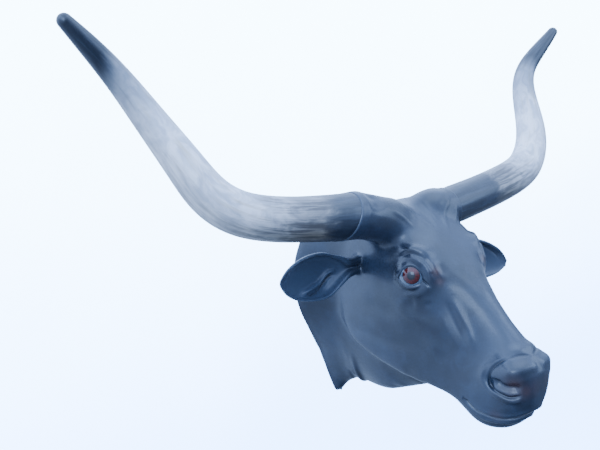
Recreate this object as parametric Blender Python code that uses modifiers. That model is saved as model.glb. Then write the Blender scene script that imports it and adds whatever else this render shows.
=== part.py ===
"""A life-size cast sculpture of a longhorn steer's head and neck, cut flat behind to hang on a wall.

The wall is the plane Y = 0, the head faces -Y, +Z is up and X = 0 is the plane of symmetry.
Head places are given in the head's own frame: "along" runs from the poll down the face,
"side" is the distance from the plane of symmetry, and "height" stands square to the forehead.
"""

from math import cos, pi, radians, sin

import bmesh
import bpy
from mathutils import Matrix, Vector

# ---- driving dimensions (metres and degrees) ----
GAP = 0.0003  # left between two pieces that meet
POLL_FORWARD = 0.275  # the poll, the top of the head, stands this far off the wall
POLL_HEIGHT = 0.330
HEAD_PITCH = 38.6  # the forehead's line looks down by this angle
WALL_OVERRUN = 0.030  # the neck is drawn through the wall plane, then cut flat
CUT_OVERRUN = 0.045  # the skin round a horn is drawn past its end, then cut flat
CLAY_GRAIN = 0.0070  # cell of the remesh that runs the rough forms together
CLAY_SMOOTHING = 18
FLESH_TRIANGLES = 3600
SLIVER_LENGTH = 0.002
UNFOLD_ROUNDS = 2
UNFOLD_SHARE = 0.3
UNFOLD_SWELL = 0.0009  # gives back what the smoothing takes
RING_STEPS = 4  # lengths between two points round a section
ROW_STEPS = 3  # sections between two stations
FORM_SIDES = 24  # of the round forms inside the clay
WELD = 0.00001

HORN_SEAT = 0.016  # the horn's root sits this deep in the skin
# By side, -1 right and 1 left. The two horns are set a little unevenly.
HORN_ROOTS = {-1: Vector((0.2325, -0.2700, 0.3115)), 1: Vector((0.1100, -0.2810, 0.2910))}
ROOT_RADIUS = {-1: 0.0520, 1: 0.0485}
ROOT_LEAN = {-1: 0.41, 1: 0.20}  # the skin reaches further out under the horn than over it
LEAN_FADE = 0.120  # along the horn
BOSS_START = {-1: 0.100, 1: 0.050}  # the bony stub starts inside the skull
BOSS_DROP = {-1: 0.0195, 1: -0.0045}  # and this much lower than the root
BOSS_RADIUS = {-1: 0.050, 1: 0.049}
# the bone swells round the stub's start: its centre on the left side, and its radii
BOSS_HILLS = {
    -1: (Vector((0.115, -0.272, 0.287)), Vector((0.085, 0.058, 0.056))),
    1: (Vector((0.055, -0.278, 0.300)), Vector((0.070, 0.052, 0.046))),
}
BOSS_NECK = 0.028  # from here out, the stub is straight and round
SKIN_THICKNESS = 0.0055  # of the skin round the root
COLLAR_SWELL = {-1: 0.0045, 1: 0.0030}  # the collar swells this much over the root
COLLAR_LENGTH = 0.034
SOCKET_CLEARANCE = 0.0008
SOCKET_SIDES = 28
SOCKET_REACH = 0.100  # the socket's cutter runs this far beyond the skin's end
HORN_LENGTHS = 26
HORN_BEVEL = 5  # bevel resolution of the horn's tube
TIP_ANGLES = (20, 45, 65, 80)  # the tip is rounded in these steps
# control points beyond the root, on the left side, and the horn's radius there
HORN_COURSE = (
    (0.423, -0.253, 0.321, 0.050),
    (0.538, -0.224, 0.356, 0.048),
    (0.587, -0.194, 0.445, 0.042),
    (0.633, -0.116, 0.548, 0.034),
    (0.678, -0.080, 0.630, 0.028),
    (0.746, -0.101, 0.694, 0.022),
    (0.800, -0.104, 0.746, 0.013),
)

EYE_ALONG = 0.168
EYE_SIDE = 0.100
EYE_HEIGHT = -0.067
EYE_RADIUS = 0.034
EYE_SIDES = 18

EAR_BASE = Vector((0.112, -0.194, 0.164))  # on the left side
EAR_TIPS = {-1: Vector((-0.386, -0.232, 0.172)), 1: Vector((0.380, -0.280, 0.092))}  # the left one droops
EAR_RIM = 0.0075  # thickness of the ear's shell
EAR_ARC = 6  # lengths round the shell
EAR_STALK = 0.10  # share of the ear's length that is a solid stalk
EAR_OPENING = 0.15  # share of the length over which the hollow opens
STALK_FRONT = 0.004
STALK_WIDTH = 0.25
EAR_STATIONS = (
    # share of the length, half width, rise of the middle, cup depth
    (0.00, 0.026, -0.004, 0.026),
    (0.14, 0.027, -0.007, 0.026),
    (0.26, 0.042, -0.010, 0.029),
    (0.38, 0.053, -0.014, 0.031),
    (0.52, 0.059, -0.010, 0.029),
    (0.66, 0.057, -0.006, 0.025),
    (0.80, 0.048, -0.004, 0.019),
    (0.92, 0.031, -0.002, 0.011),
    (1.00, 0.008, 0.000, 0.004),
)

# Half sections of the head: along, height of the top, then (side, height) of the brow or
# bridge edge, of the cheekbone, of the cheek and of the jaw's edge, and height of the underside.
HEAD_STATIONS = (
    (-0.050, -0.062, (0.050, -0.066), (0.076, -0.106), (0.078, -0.170), (0.060, -0.225), -0.245),
    (0.000, -0.020, (0.066, -0.023), (0.100, -0.054), (0.104, -0.160), (0.090, -0.265), -0.285),
    (0.050, -0.003, (0.080, -0.008), (0.106, -0.050), (0.112, -0.180), (0.103, -0.318), -0.335),
    (0.100, 0.002, (0.088, -0.009), (0.112, -0.048), (0.116, -0.190), (0.110, -0.350), -0.345),
    (0.150, 0.000, (0.092, -0.010), (0.120, -0.050), (0.117, -0.190), (0.112, -0.358), -0.340),
    (0.190, -0.001, (0.084, -0.018), (0.116, -0.062), (0.114, -0.190), (0.110, -0.350), -0.330),
    (0.240, -0.002, (0.056, -0.018), (0.090, -0.075), (0.108, -0.185), (0.102, -0.332), -0.310),
    (0.300, -0.005, (0.037, -0.018), (0.069, -0.075), (0.094, -0.170), (0.092, -0.305), -0.285),
    (0.360, -0.010, (0.030, -0.020), (0.057, -0.066), (0.080, -0.150), (0.080, -0.266), -0.250),
    (0.410, -0.013, (0.033, -0.022), (0.055, -0.060), (0.072, -0.130), (0.073, -0.226), -0.216),
    (0.450, -0.009, (0.040, -0.020), (0.063, -0.060), (0.074, -0.120), (0.067, -0.213), -0.208),
    (0.490, -0.011, (0.041, -0.026), (0.067, -0.064), (0.071, -0.125), (0.058, -0.216), -0.217),
    (0.520, -0.030, (0.038, -0.044), (0.058, -0.084), (0.059, -0.130), (0.048, -0.204), -0.211),
    (0.545, -0.062, (0.026, -0.070), (0.038, -0.098), (0.042, -0.130), (0.035, -0.180), -0.190),
    (0.556, -0.090, (0.014, -0.094), (0.020, -0.110), (0.024, -0.132), (0.018, -0.152), -0.158),
)

# Half sections of the neck, square to the wall: y, height of the nape, then (side, height) down
# the flank, and height of the throat.
NECK_STATIONS = (
    (0.00, 0.285, (0.098, 0.257), (0.166, 0.135), (0.155, 0.012), (0.107, -0.081), (0.058, -0.182), -0.30),
    (-0.03, 0.285, (0.09, 0.255), (0.150, 0.133), (0.138, 0.012), (0.096, -0.081), (0.053, -0.175), -0.264),
    (-0.06, 0.288, (0.082, 0.26), (0.13, 0.13), (0.122, 0.01), (0.086, -0.08), (0.048, -0.165), -0.236),
    (-0.12, 0.292, (0.072, 0.264), (0.108, 0.14), (0.10, 0.02), (0.078, -0.07), (0.05, -0.15), -0.216),
    (-0.20, 0.30, (0.066, 0.276), (0.098, 0.15), (0.09, 0.03), (0.078, -0.06), (0.056, -0.145), -0.212),
    (-0.28, 0.304, (0.06, 0.276), (0.09, 0.15), (0.084, 0.03), (0.074, -0.05), (0.05, -0.125), -0.176),
    (-0.36, 0.26, (0.05, 0.23), (0.076, 0.13), (0.076, 0.03), (0.066, -0.04), (0.044, -0.095), -0.132),
    (-0.42, 0.14, (0.034, 0.13), (0.05, 0.09), (0.05, 0.02), (0.044, -0.02), (0.03, -0.05), -0.07),
)

# Muscle and bone that stand proud: along, side, height, then their radii the same three ways.
SWELLINGS = (
    ("brow", 0.152, 0.088, -0.034, 0.066, 0.036, 0.030),
    ("eye_socket", 0.172, 0.090, -0.066, 0.058, 0.034, 0.050),
    ("cheek_muscle", 0.150, 0.084, -0.235, 0.110, 0.038, 0.110),
    ("cheekbone", 0.215, 0.070, -0.110, 0.120, 0.026, 0.028),
    ("nostril_wing", 0.468, 0.044, -0.056, 0.042, 0.034, 0.038),
    ("upper_lip", 0.502, 0.036, -0.115, 0.044, 0.034, 0.034),
    ("chin", 0.500, 0.020, -0.182, 0.046, 0.036, 0.028),
)

NOSTRIL_BEVEL = 3
NOSTRIL_COURSE = (
    # along, side, height and radius of the hollow
    (0.515, 0.032, -0.090, 0.0060),
    (0.490, 0.052, -0.100, 0.0090),
    (0.462, 0.070, -0.090, 0.0100),
    (0.448, 0.082, -0.062, 0.0070),
)

# Side outlines of the cuts that part the flesh, as (y, z) from top to bottom or front to back.
NECK_CUT = (
    (-0.130, 0.480), (-0.160, 0.330), (-0.135, 0.180), (-0.096, 0.090), (-0.110, 0.010),
    (-0.145, -0.046), (-0.215, -0.084), (-0.295, -0.106), (-0.370, -0.118), (-0.450, -0.112),
    (-0.500, -0.170), (-0.520, -0.320),
)
JAW_CUT = (
    (-0.720, -0.112), (-0.600, -0.106), (-0.505, -0.100), (-0.440, -0.052), (-0.300, -0.010),
    (-0.180, 0.020), (-0.020, 0.050),
)
MUZZLE_ALONG = 0.425
CUT_REACH = 0.400  # half the width of a cutting sheet

BACK_PANEL_INSET = 0.014
BACK_PANEL_DEPTH = 0.012

HEAD_AXIS = Vector((0.0, -cos(radians(HEAD_PITCH)), -sin(radians(HEAD_PITCH))))
HEAD_NORMAL = Vector((0.0, -sin(radians(HEAD_PITCH)), cos(radians(HEAD_PITCH))))
POLL = Vector((0.0, -POLL_FORWARD, POLL_HEIGHT))


# ---- scene and material helpers ----
def clear_scene():
    for thing in list(bpy.data.objects):
        bpy.data.objects.remove(thing, do_unlink=True)


def make_collection(name):
    collection = bpy.data.collections.new(name)
    bpy.context.scene.collection.children.link(collection)
    return collection


def material(name, colour, roughness):
    made = bpy.data.materials.new(name)
    made.use_nodes = True
    shader = made.node_tree.nodes["Principled BSDF"]
    shader.inputs["Base Color"].default_value = (*colour, 1.0)
    shader.inputs["Roughness"].default_value = roughness
    shader.inputs["Metallic"].default_value = 0.0
    return made


def add_object(name, mesh, collection):
    thing = bpy.data.objects.new(name, mesh)
    collection.objects.link(thing)
    return thing


def mesh_from(bm, name):
    bmesh.ops.recalc_face_normals(bm, faces=bm.faces)
    mesh = bpy.data.meshes.new(name)
    bm.to_mesh(mesh)
    bm.free()
    return mesh


def hide_cutter(thing):
    thing.hide_render = True
    thing.display_type = "WIRE"


def baked_mesh(thing):
    """The object's mesh with its modifiers applied, in world space."""
    graph = bpy.context.evaluated_depsgraph_get()
    mesh = bpy.data.meshes.new_from_object(thing.evaluated_get(graph))
    mesh.transform(thing.matrix_world)
    return mesh


def cut(thing, cutter, operation="DIFFERENCE"):
    modifier = thing.modifiers.new(cutter.name, "BOOLEAN")
    modifier.operation = operation
    modifier.solver = "EXACT"
    modifier.object = cutter
    return modifier


# ---- curves and lofts ----
def head_point(along, side, height):
    return POLL + HEAD_AXIS * along + HEAD_NORMAL * height + Vector((side, 0.0, 0.0))


def catmull(a, b, c, d, t):
    """The smooth curve through b and c, at t from 0 to 1, for numbers or vectors."""
    square = 2 * a - 5 * b + 4 * c - d
    cube = 3 * b - a - 3 * c + d
    return 0.5 * (2 * b + (c - a) * t + square * t ** 2 + cube * t ** 3)


def smooth_ring(points, steps):
    """A closed smooth curve through the points."""
    count = len(points)
    ring = []
    for i in range(count):
        a, b, c, d = (points[(i + k - 1) % count] for k in range(4))
        ring += [catmull(a, b, c, d, j / steps) for j in range(steps)]
    return ring


def smooth_between(rings, steps):
    """More rings, on smooth curves through the given ones."""
    made = []
    last = len(rings) - 1
    for i in range(last):
        rows = [rings[min(max(i + k - 1, 0), last)] for k in range(4)]
        for j in range(steps):
            made.append([catmull(*points, j / steps) for points in zip(*rows)])
    return made + [rings[-1]]


def loft(rings, name):
    """A closed solid through rings of equal count."""
    bm = bmesh.new()
    rows = [[bm.verts.new(point) for point in ring] for ring in rings]
    count = len(rings[0])
    for low, high in zip(rows, rows[1:]):
        for i in range(count):
            j = (i + 1) % count
            bm.faces.new((low[i], low[j], high[j], high[i]))
    for row in (rows[0], rows[-1]):
        middle = bm.verts.new(sum((v.co for v in row), Vector()) / count)
        for i in range(count):
            bm.faces.new((row[i], row[(i + 1) % count], middle))
    return mesh_from(bm, name)


def whole_section(top, flank, bottom, place):
    """Mirror a half section and set each (side, height) in space."""
    right = [(side, height) for side, height in flank]
    left = [(-side, height) for side, height in reversed(flank)]
    outline = [(0.0, top)] + right + [(0.0, bottom)] + left
    return [place(side, height) for side, height in outline]


# ---- flesh ----
def head_form():
    rings = []
    for along, top, *flank, bottom in HEAD_STATIONS:
        section = whole_section(top, flank, bottom, lambda x, h, s=along: head_point(s, x, h))
        rings.append(smooth_ring(section, RING_STEPS))
    return loft(smooth_between(rings, ROW_STEPS), "head_form")


def neck_form():
    rings = []
    for y, top, *flank, bottom in NECK_STATIONS:
        section = whole_section(top, flank, bottom, lambda x, z, y=y: Vector((x, y, z)))
        rings.append(smooth_ring(section, RING_STEPS))
    beyond_wall = [point + Vector((0.0, WALL_OVERRUN, 0.0)) for point in rings[0]]
    return loft([beyond_wall] + smooth_between(rings, ROW_STEPS), "neck_form")


def unit_ball():
    bm = bmesh.new()
    bmesh.ops.create_uvsphere(bm, u_segments=FORM_SIDES, v_segments=FORM_SIDES // 2, radius=1.0)
    return bm


def swelling_form(along, side, height, radii):
    bm = unit_ball()
    length, width, depth = radii
    for vert in bm.verts:
        x, y, z = vert.co
        vert.co = head_point(along + x * length, side + y * width, height + z * depth)
    return mesh_from(bm, "swelling")


def horn_root(side, out):
    """A place on the line through the horn's root, square to the plane of symmetry."""
    root = HORN_ROOTS[side]
    return Vector((side * out, root.y, root.z))


def horn_boss_form(side):
    """The bony stub under the horn, from inside the skull to past the end of the skin."""
    root = HORN_ROOTS[side]
    wide = ROOT_RADIUS[side] + SKIN_THICKNESS
    steps = (
        (BOSS_START[side], BOSS_DROP[side], BOSS_RADIUS[side]),
        (root.x - BOSS_NECK, 0.0, wide),
        (root.x + CUT_OVERRUN, 0.0, wide),
    )
    rings = []
    for out, drop, radius in steps:
        centre = horn_root(side, out) - Vector((0.0, 0.0, drop))
        angles = [2 * pi * i / FORM_SIDES for i in range(FORM_SIDES)]
        rings.append([centre + Vector((0.0, radius * cos(a), radius * sin(a))) for a in angles])
    return loft(rings, "horn_boss")


def horn_boss_hill(side):
    centre, radii = BOSS_HILLS[side]
    bm = unit_ball()
    for vert in bm.verts:
        place = centre + vert.co * radii
        vert.co = Vector((side * place.x, place.y, place.z))
    return mesh_from(bm, "horn_boss_hill")


def collar_form(side):
    """A soft ring of skin that swells round the root of the horn."""
    radius = ROOT_RADIUS[side] + COLLAR_SWELL[side]
    centre = horn_root(side, HORN_ROOTS[side].x - HORN_SEAT)
    bm = unit_ball()
    for vert in bm.verts:
        x, y, z = vert.co
        out = side * (z * COLLAR_LENGTH - ROOT_LEAN[side] * y * radius)
        vert.co = centre + Vector((out, x * radius, y * radius))
    return mesh_from(bm, "collar")


def join_meshes(meshes, name):
    bm = bmesh.new()
    for mesh in meshes:
        bm.from_mesh(mesh)
    joined = bpy.data.meshes.new(name)
    bm.to_mesh(joined)
    bm.free()
    return joined


def unfold(bm):
    """Clear the slivers and small folds that thinning out leaves."""
    bmesh.ops.dissolve_degenerate(bm, dist=SLIVER_LENGTH, edges=bm.edges)
    bmesh.ops.triangulate(bm, faces=bm.faces)
    axes = {f"use_axis_{axis}": True for axis in "xyz"}
    for _ in range(UNFOLD_ROUNDS):
        bmesh.ops.smooth_vert(bm, verts=bm.verts, factor=UNFOLD_SHARE, **axes)
        bmesh.ops.beautify_fill(bm, faces=bm.faces, edges=bm.edges, method="ANGLE")
    bm.normal_update()
    moved = [(vert, vert.co + vert.normal * UNFOLD_SWELL) for vert in bm.verts]
    for vert, place in moved:
        vert.co = place


def flesh_mesh(workshop):
    """Head, neck, horn bosses and swellings, run together and cut flat at the wall."""
    forms = [head_form(), neck_form()]
    for side in (-1, 1):
        forms += [horn_boss_form(side), horn_boss_hill(side), collar_form(side)]
        for _, along, offset, height, *radii in SWELLINGS:
            forms.append(swelling_form(along, side * offset, height, radii))
    clay = add_object("clay", join_meshes(forms, "clay"), workshop)
    remesh = clay.modifiers.new("run_together", "REMESH")
    remesh.mode = "VOXEL"
    remesh.voxel_size = CLAY_GRAIN
    smooth = clay.modifiers.new("smooth", "SMOOTH")
    smooth.iterations = CLAY_SMOOTHING
    fine = add_object("fine_clay", baked_mesh(clay), workshop)
    fine.data.calc_loop_triangles()
    decimate = fine.modifiers.new("thin_out", "DECIMATE")
    decimate.ratio = FLESH_TRIANGLES / len(fine.data.loop_triangles)
    decimate.use_symmetry = True
    decimate.symmetry_axis = "X"
    bm = bmesh.new()
    bm.from_mesh(baked_mesh(fine))
    unfold(bm)
    everything = bm.verts[:] + bm.edges[:] + bm.faces[:]
    bmesh.ops.bisect_plane(bm, geom=everything, plane_co=(0, 0, 0), plane_no=(0, 1, 0), clear_outer=True)
    rim = [edge for edge in bm.edges if edge.is_boundary]
    bmesh.ops.triangle_fill(bm, edges=rim, use_beauty=True, normal=(0, 1, 0))
    for thing in (clay, fine):
        bpy.data.objects.remove(thing, do_unlink=True)
    return mesh_from(bm, "flesh")


# ---- thin cuts ----
def sheet_cutter(name, course, workshop):
    """A sheet as thick as the gap, straight across the body, on a side outline of (y, z)."""
    bm = bmesh.new()
    rows = []
    for y, z in course:
        rows.append([bm.verts.new((side * CUT_REACH, y, z)) for side in (-1, 1)])
    for upper, lower in zip(rows, rows[1:]):
        bm.faces.new((upper[0], upper[1], lower[1], lower[0]))
    sheet = add_object(name, mesh_from(bm, name), workshop)
    solid = sheet.modifiers.new("gap", "SOLIDIFY")
    solid.thickness = GAP
    solid.offset = 0.0
    hide_cutter(sheet)
    return sheet


def loose_parts(mesh):
    """The mesh's separate bodies, as vertex index sets, largest first."""
    parent = list(range(len(mesh.vertices)))

    def root(i):
        while parent[i] != i:
            parent[i] = parent[parent[i]]
            i = parent[i]
        return i

    for edge in mesh.edges:
        a, b = (root(i) for i in edge.vertices)
        parent[a] = b
    groups = {}
    for i in range(len(parent)):
        groups.setdefault(root(i), set()).add(i)
    return sorted(groups.values(), key=len, reverse=True)


def keep_part(mesh, indices, name):
    bm = bmesh.new()
    bm.from_mesh(mesh)
    bm.verts.ensure_lookup_table()
    gone = [vert for vert in bm.verts if vert.index not in indices]
    bmesh.ops.delete(bm, geom=gone, context="VERTS")
    kept = bpy.data.meshes.new(name)
    bm.to_mesh(kept)
    bm.free()
    return kept


def part_by_sheet(mesh, sheet, workshop):
    """Cut a mesh in two with a thin sheet and return both halves, largest first."""
    whole = add_object("whole", mesh, workshop)
    cut(whole, sheet)
    parted = baked_mesh(whole)
    bpy.data.objects.remove(whole, do_unlink=True)
    first, second = loose_parts(parted)[:2]
    return keep_part(parted, first, "first"), keep_part(parted, second, "second")


def middle_of(mesh):
    return sum((vert.co for vert in mesh.vertices), Vector()) / len(mesh.vertices)


def grown_copy(mesh, amount, name, workshop):
    """A copy whose surface stands out by the amount, to cut a neighbour with a gap."""
    bm = bmesh.new()
    bm.from_mesh(mesh)
    bm.normal_update()
    moved = [(vert, vert.co + vert.normal * amount) for vert in bm.verts]
    for vert, place in moved:
        vert.co = place
    copy = add_object(name, mesh_from(bm, name), workshop)
    hide_cutter(copy)
    return copy


# ---- ears, eyes, horns ----
def ear_form(side):
    """A cupped leaf, open to the front, on a short stalk that starts inside the head."""
    base = Vector((side * EAR_BASE.x, EAR_BASE.y, EAR_BASE.z))
    tip = EAR_TIPS[side]
    outward = (tip - base).normalized()
    back = (Vector((0, 1, 0)) - outward * outward.y).normalized()
    up = Vector((0, 0, 1))
    up = (up - outward * up.dot(outward) - back * up.dot(back)).normalized()
    rings = []
    for share, half_width, rise, cup in EAR_STATIONS:
        centre = base.lerp(tip, share) + up * rise
        shell = min(EAR_RIM, half_width / 2)
        hollow = min(1.0, max(0.0, (share - EAR_STALK) / EAR_OPENING))
        front = STALK_FRONT * (1.0 - hollow)
        inner_width = (half_width - shell) * (STALK_WIDTH + (1.0 - STALK_WIDTH) * hollow)
        inner_cup = (cup - min(shell, cup / 2)) * hollow
        ring = []
        for i in range(EAR_ARC + 1):
            angle = pi * (i / EAR_ARC - 0.5)
            ring.append(centre + up * half_width * sin(angle) + back * cup * cos(angle))
        for i in range(EAR_ARC + 1):
            angle = pi * (0.5 - i / EAR_ARC)
            ring.append(centre + up * inner_width * sin(angle) + back * (inner_cup * cos(angle) - front))
        rings.append(ring)
    return loft(smooth_between(rings, 2), "ear_form")


def eye_mesh(side):
    bm = bmesh.new()
    bmesh.ops.create_uvsphere(bm, u_segments=EYE_SIDES, v_segments=EYE_SIDES // 2, radius=EYE_RADIUS)
    bm.transform(Matrix.Rotation(pi / 2, 4, "Y"))
    bm.transform(Matrix.Translation(head_point(EYE_ALONG, side * EYE_SIDE, EYE_HEIGHT)))
    return mesh_from(bm, "eye")


def horn_course(side, steps):
    """Points and radii on a clamped cubic B-spline from the root over HORN_COURSE."""
    root = Vector((*HORN_ROOTS[side], ROOT_RADIUS[side]))
    controls = [root] + [Vector(row) for row in HORN_COURSE]
    count = len(controls)
    inner = count - 3
    knots = [0.0] * 3 + [i / inner for i in range(inner + 1)] + [1.0] * 3
    course = []
    for step in range(steps + 1):
        t = min(step / steps, 1.0 - 1e-9)
        span = max(i for i in range(3, count) if knots[i] <= t)
        row = [controls[span - 3 + k].copy() for k in range(4)]
        for depth in range(1, 4):
            for k in range(3, depth - 1, -1):
                low = knots[span - 3 + k]
                share = (t - low) / (knots[span + 1 + k - depth] - low)
                row[k] = row[k - 1].lerp(row[k], share)
        course.append(row[3])
    return course


def horn_mesh(side, workshop):
    """A curve tube that tapers along the horn's course and ends in a rounded tip."""
    course = horn_course(side, HORN_LENGTHS)
    root, tip = course[0], course[-1]
    course = [point for point in course if (point.xyz - tip.xyz).length > tip.w]
    course.insert(0, root - Vector((HORN_SEAT, 0.0, 0.0, 0.0)))
    last = course[-1]
    for angle in TIP_ANGLES:
        place = last.xyz.lerp(tip.xyz, sin(radians(angle)))
        course.append(Vector((*place, last.w * cos(radians(angle)))))
    curve = bpy.data.curves.new("horn_curve", "CURVE")
    curve.dimensions = "3D"
    curve.bevel_depth = 1.0
    curve.bevel_resolution = HORN_BEVEL
    curve.use_fill_caps = True
    spline = curve.splines.new("POLY")
    spline.points.add(len(course) - 1)
    for point, (x, y, z, radius) in zip(spline.points, course):
        point.co = (side * x, y, z, 1.0)
        point.radius = radius
    tube = add_object("horn_tube", curve, workshop)
    bm = bmesh.new()
    bm.from_mesh(baked_mesh(tube))
    bmesh.ops.remove_doubles(bm, verts=bm.verts, dist=WELD)
    for vert in bm.verts:
        beyond = max(0.0, side * vert.co.x - root.x)
        fade = max(0.0, 1.0 - beyond / LEAN_FADE)
        vert.co.x -= side * fade * ROOT_LEAN[side] * (vert.co.z - root.z)
    bpy.data.objects.remove(tube, do_unlink=True)
    return mesh_from(bm, "horn")


def horn_socket(side, workshop):
    """The hole that seats the horn, and the room beyond the skin's flat end."""
    end = HORN_ROOTS[side].x
    narrow = ROOT_RADIUS[side] + SOCKET_CLEARANCE
    wide = 2 * ROOT_RADIUS[side]
    rings = []
    steps = ((end - HORN_SEAT - GAP, narrow), (end, narrow), (end, wide), (end + SOCKET_REACH, wide))
    for out, radius in steps:
        ring = []
        for i in range(SOCKET_SIDES):
            angle = 2 * pi * i / SOCKET_SIDES
            rise = radius * sin(angle)
            centre = horn_root(side, out - ROOT_LEAN[side] * rise)
            ring.append(centre + Vector((0.0, radius * cos(angle), rise)))
        rings.append(ring)
    socket = add_object(f"horn_socket_{side}", loft(rings, "horn_socket"), workshop)
    hide_cutter(socket)
    return socket


def nostril_cutter(side, workshop):
    curve = bpy.data.curves.new("nostril_curve", "CURVE")
    curve.dimensions = "3D"
    curve.bevel_depth = 1.0
    curve.bevel_resolution = NOSTRIL_BEVEL
    curve.use_fill_caps = True
    spline = curve.splines.new("POLY")
    rows = [[Vector(row)] for row in NOSTRIL_COURSE]
    course = [row[0] for row in smooth_between(rows, ROW_STEPS)]
    spline.points.add(len(course) - 1)
    for point, (along, offset, height, radius) in zip(spline.points, course):
        point.co = (*head_point(along, side * offset, height), 1.0)
        point.radius = radius
    tube = add_object("nostril_tube", curve, workshop)
    bm = bmesh.new()
    bm.from_mesh(baked_mesh(tube))
    bmesh.ops.remove_doubles(bm, verts=bm.verts, dist=WELD)
    bpy.data.objects.remove(tube, do_unlink=True)
    cutter = add_object(f"nostril_{side}", mesh_from(bm, "nostril"), workshop)
    hide_cutter(cutter)
    return cutter


def back_panel_mesh(grow):
    """A board let into the back, along the neck's outline at the wall."""
    _, top, *flank, bottom = NECK_STATIONS[0]
    outline = smooth_ring(whole_section(top, flank, bottom, lambda x, z: Vector((x, 0.0, z))), RING_STEPS)
    count = len(outline)
    inset = []
    for i, point in enumerate(outline):
        run = (outline[(i + 1) % count] - outline[i - 1]).normalized()
        inward = Vector((run.z, 0.0, -run.x))
        inset.append(point + inward * (BACK_PANEL_INSET - grow))
    inside = [point - Vector((0.0, BACK_PANEL_DEPTH + grow, 0.0)) for point in inset]
    outside = [point + Vector((0.0, WALL_OVERRUN, 0.0)) for point in inset]
    return loft([inside, outside if grow else inset], "back_panel")


def build():
    clear_scene()
    parts = make_collection("longhorn_steer_head")
    workshop = make_collection("cutters")
    paint = (0.030, 0.038, 0.055)

    flesh = flesh_mesh(workshop)
    front, neck = part_by_sheet(flesh, sheet_cutter("neck_cut", NECK_CUT, workshop), workshop)
    if middle_of(front).y > middle_of(neck).y:
        front, neck = neck, front
    upper, jaw = part_by_sheet(front, sheet_cutter("jaw_cut", JAW_CUT, workshop), workshop)
    if middle_of(upper).z < middle_of(jaw).z:
        upper, jaw = jaw, upper
    course = [head_point(MUZZLE_ALONG, 0.0, height)[1:] for height in (CUT_REACH, -CUT_REACH)]
    head, muzzle = part_by_sheet(upper, sheet_cutter("muzzle_cut", course, workshop), workshop)
    if middle_of(head).y < middle_of(muzzle).y:
        head, muzzle = muzzle, head

    board = add_object("back_panel", back_panel_mesh(0.0), parts)
    board.data.materials.append(material("back_panel_wood", (0.30, 0.22, 0.14), 0.7))
    pocket = add_object("back_pocket", back_panel_mesh(GAP), workshop)
    hide_cutter(pocket)

    pieces = {}
    for name, mesh in (("head", head), ("muzzle", muzzle), ("lower_jaw", jaw), ("neck", neck)):
        pieces[name] = add_object(name, mesh, parts)
        pieces[name].data.materials.append(material(f"{name}_paint", paint, 0.32))
    cut(pieces["neck"], pocket)
    for side, word in ((-1, "right"), (1, "left")):
        eye = add_object(f"eye_{word}", eye_mesh(side), parts)
        eye.data.materials.append(material(f"eye_{word}_glass", (0.09, 0.02, 0.012), 0.05))
        cut(pieces["head"], grown_copy(eye.data, SOCKET_CLEARANCE, f"eye_socket_{side}", workshop))
        horn = add_object(f"horn_{word}", horn_mesh(side, workshop), parts)
        horn.data.materials.append(material(f"horn_{word}_paint", (0.42, 0.40, 0.42), 0.3))
        cut(pieces["head"], horn_socket(side, workshop))
        cut(pieces["muzzle"], nostril_cutter(side, workshop))
        ear = add_object(f"ear_{word}", ear_form(side), parts)
        ear.data.materials.append(material(f"ear_{word}_paint", paint, 0.32))
        cut(ear, grown_copy(flesh, GAP, f"flesh_{side}", workshop))


build()
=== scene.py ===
"""The looks of the longhorn steer head: one painted skin, glass eyes, painted horns, a wall and soft light.

Metres, in the part's own frame: the wall is the plane Y = 0, the head faces -Y and +Z is up.
"""

from math import cos, exp, pi, radians, sin

import bmesh
import bpy
import numpy as np
from mathutils import Matrix, Vector
from mathutils.bvhtree import BVHTree


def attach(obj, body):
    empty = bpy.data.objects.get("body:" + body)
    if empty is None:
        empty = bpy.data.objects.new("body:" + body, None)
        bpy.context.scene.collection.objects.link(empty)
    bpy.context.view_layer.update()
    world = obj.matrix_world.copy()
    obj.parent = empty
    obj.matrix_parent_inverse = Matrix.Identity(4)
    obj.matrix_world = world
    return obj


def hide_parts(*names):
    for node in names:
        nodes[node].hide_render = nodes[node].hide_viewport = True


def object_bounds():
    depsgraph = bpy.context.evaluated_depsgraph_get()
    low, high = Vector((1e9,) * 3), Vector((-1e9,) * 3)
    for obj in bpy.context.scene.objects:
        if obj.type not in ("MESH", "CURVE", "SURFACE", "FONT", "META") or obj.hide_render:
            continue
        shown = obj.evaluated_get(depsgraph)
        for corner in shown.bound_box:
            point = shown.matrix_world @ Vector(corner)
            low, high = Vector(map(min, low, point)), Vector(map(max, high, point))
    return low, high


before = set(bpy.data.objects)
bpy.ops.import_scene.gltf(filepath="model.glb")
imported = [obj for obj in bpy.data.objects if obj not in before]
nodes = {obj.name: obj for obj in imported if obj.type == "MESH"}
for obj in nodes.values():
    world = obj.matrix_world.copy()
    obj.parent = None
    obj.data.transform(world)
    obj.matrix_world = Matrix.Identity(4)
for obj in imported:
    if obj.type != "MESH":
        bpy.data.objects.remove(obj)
cad_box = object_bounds()

# ---- the head's own frame: along the face from the poll, out to the side, and square to the forehead ----
HEAD_PITCH = radians(38.6)
POLL = np.array((0.0, -0.275, 0.330))
HEAD_AXIS = np.array((0.0, -cos(HEAD_PITCH), -sin(HEAD_PITCH)))
HEAD_NORMAL = np.array((0.0, -sin(HEAD_PITCH), cos(HEAD_PITCH)))
SIDES = {"right": -1, "left": 1}

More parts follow.
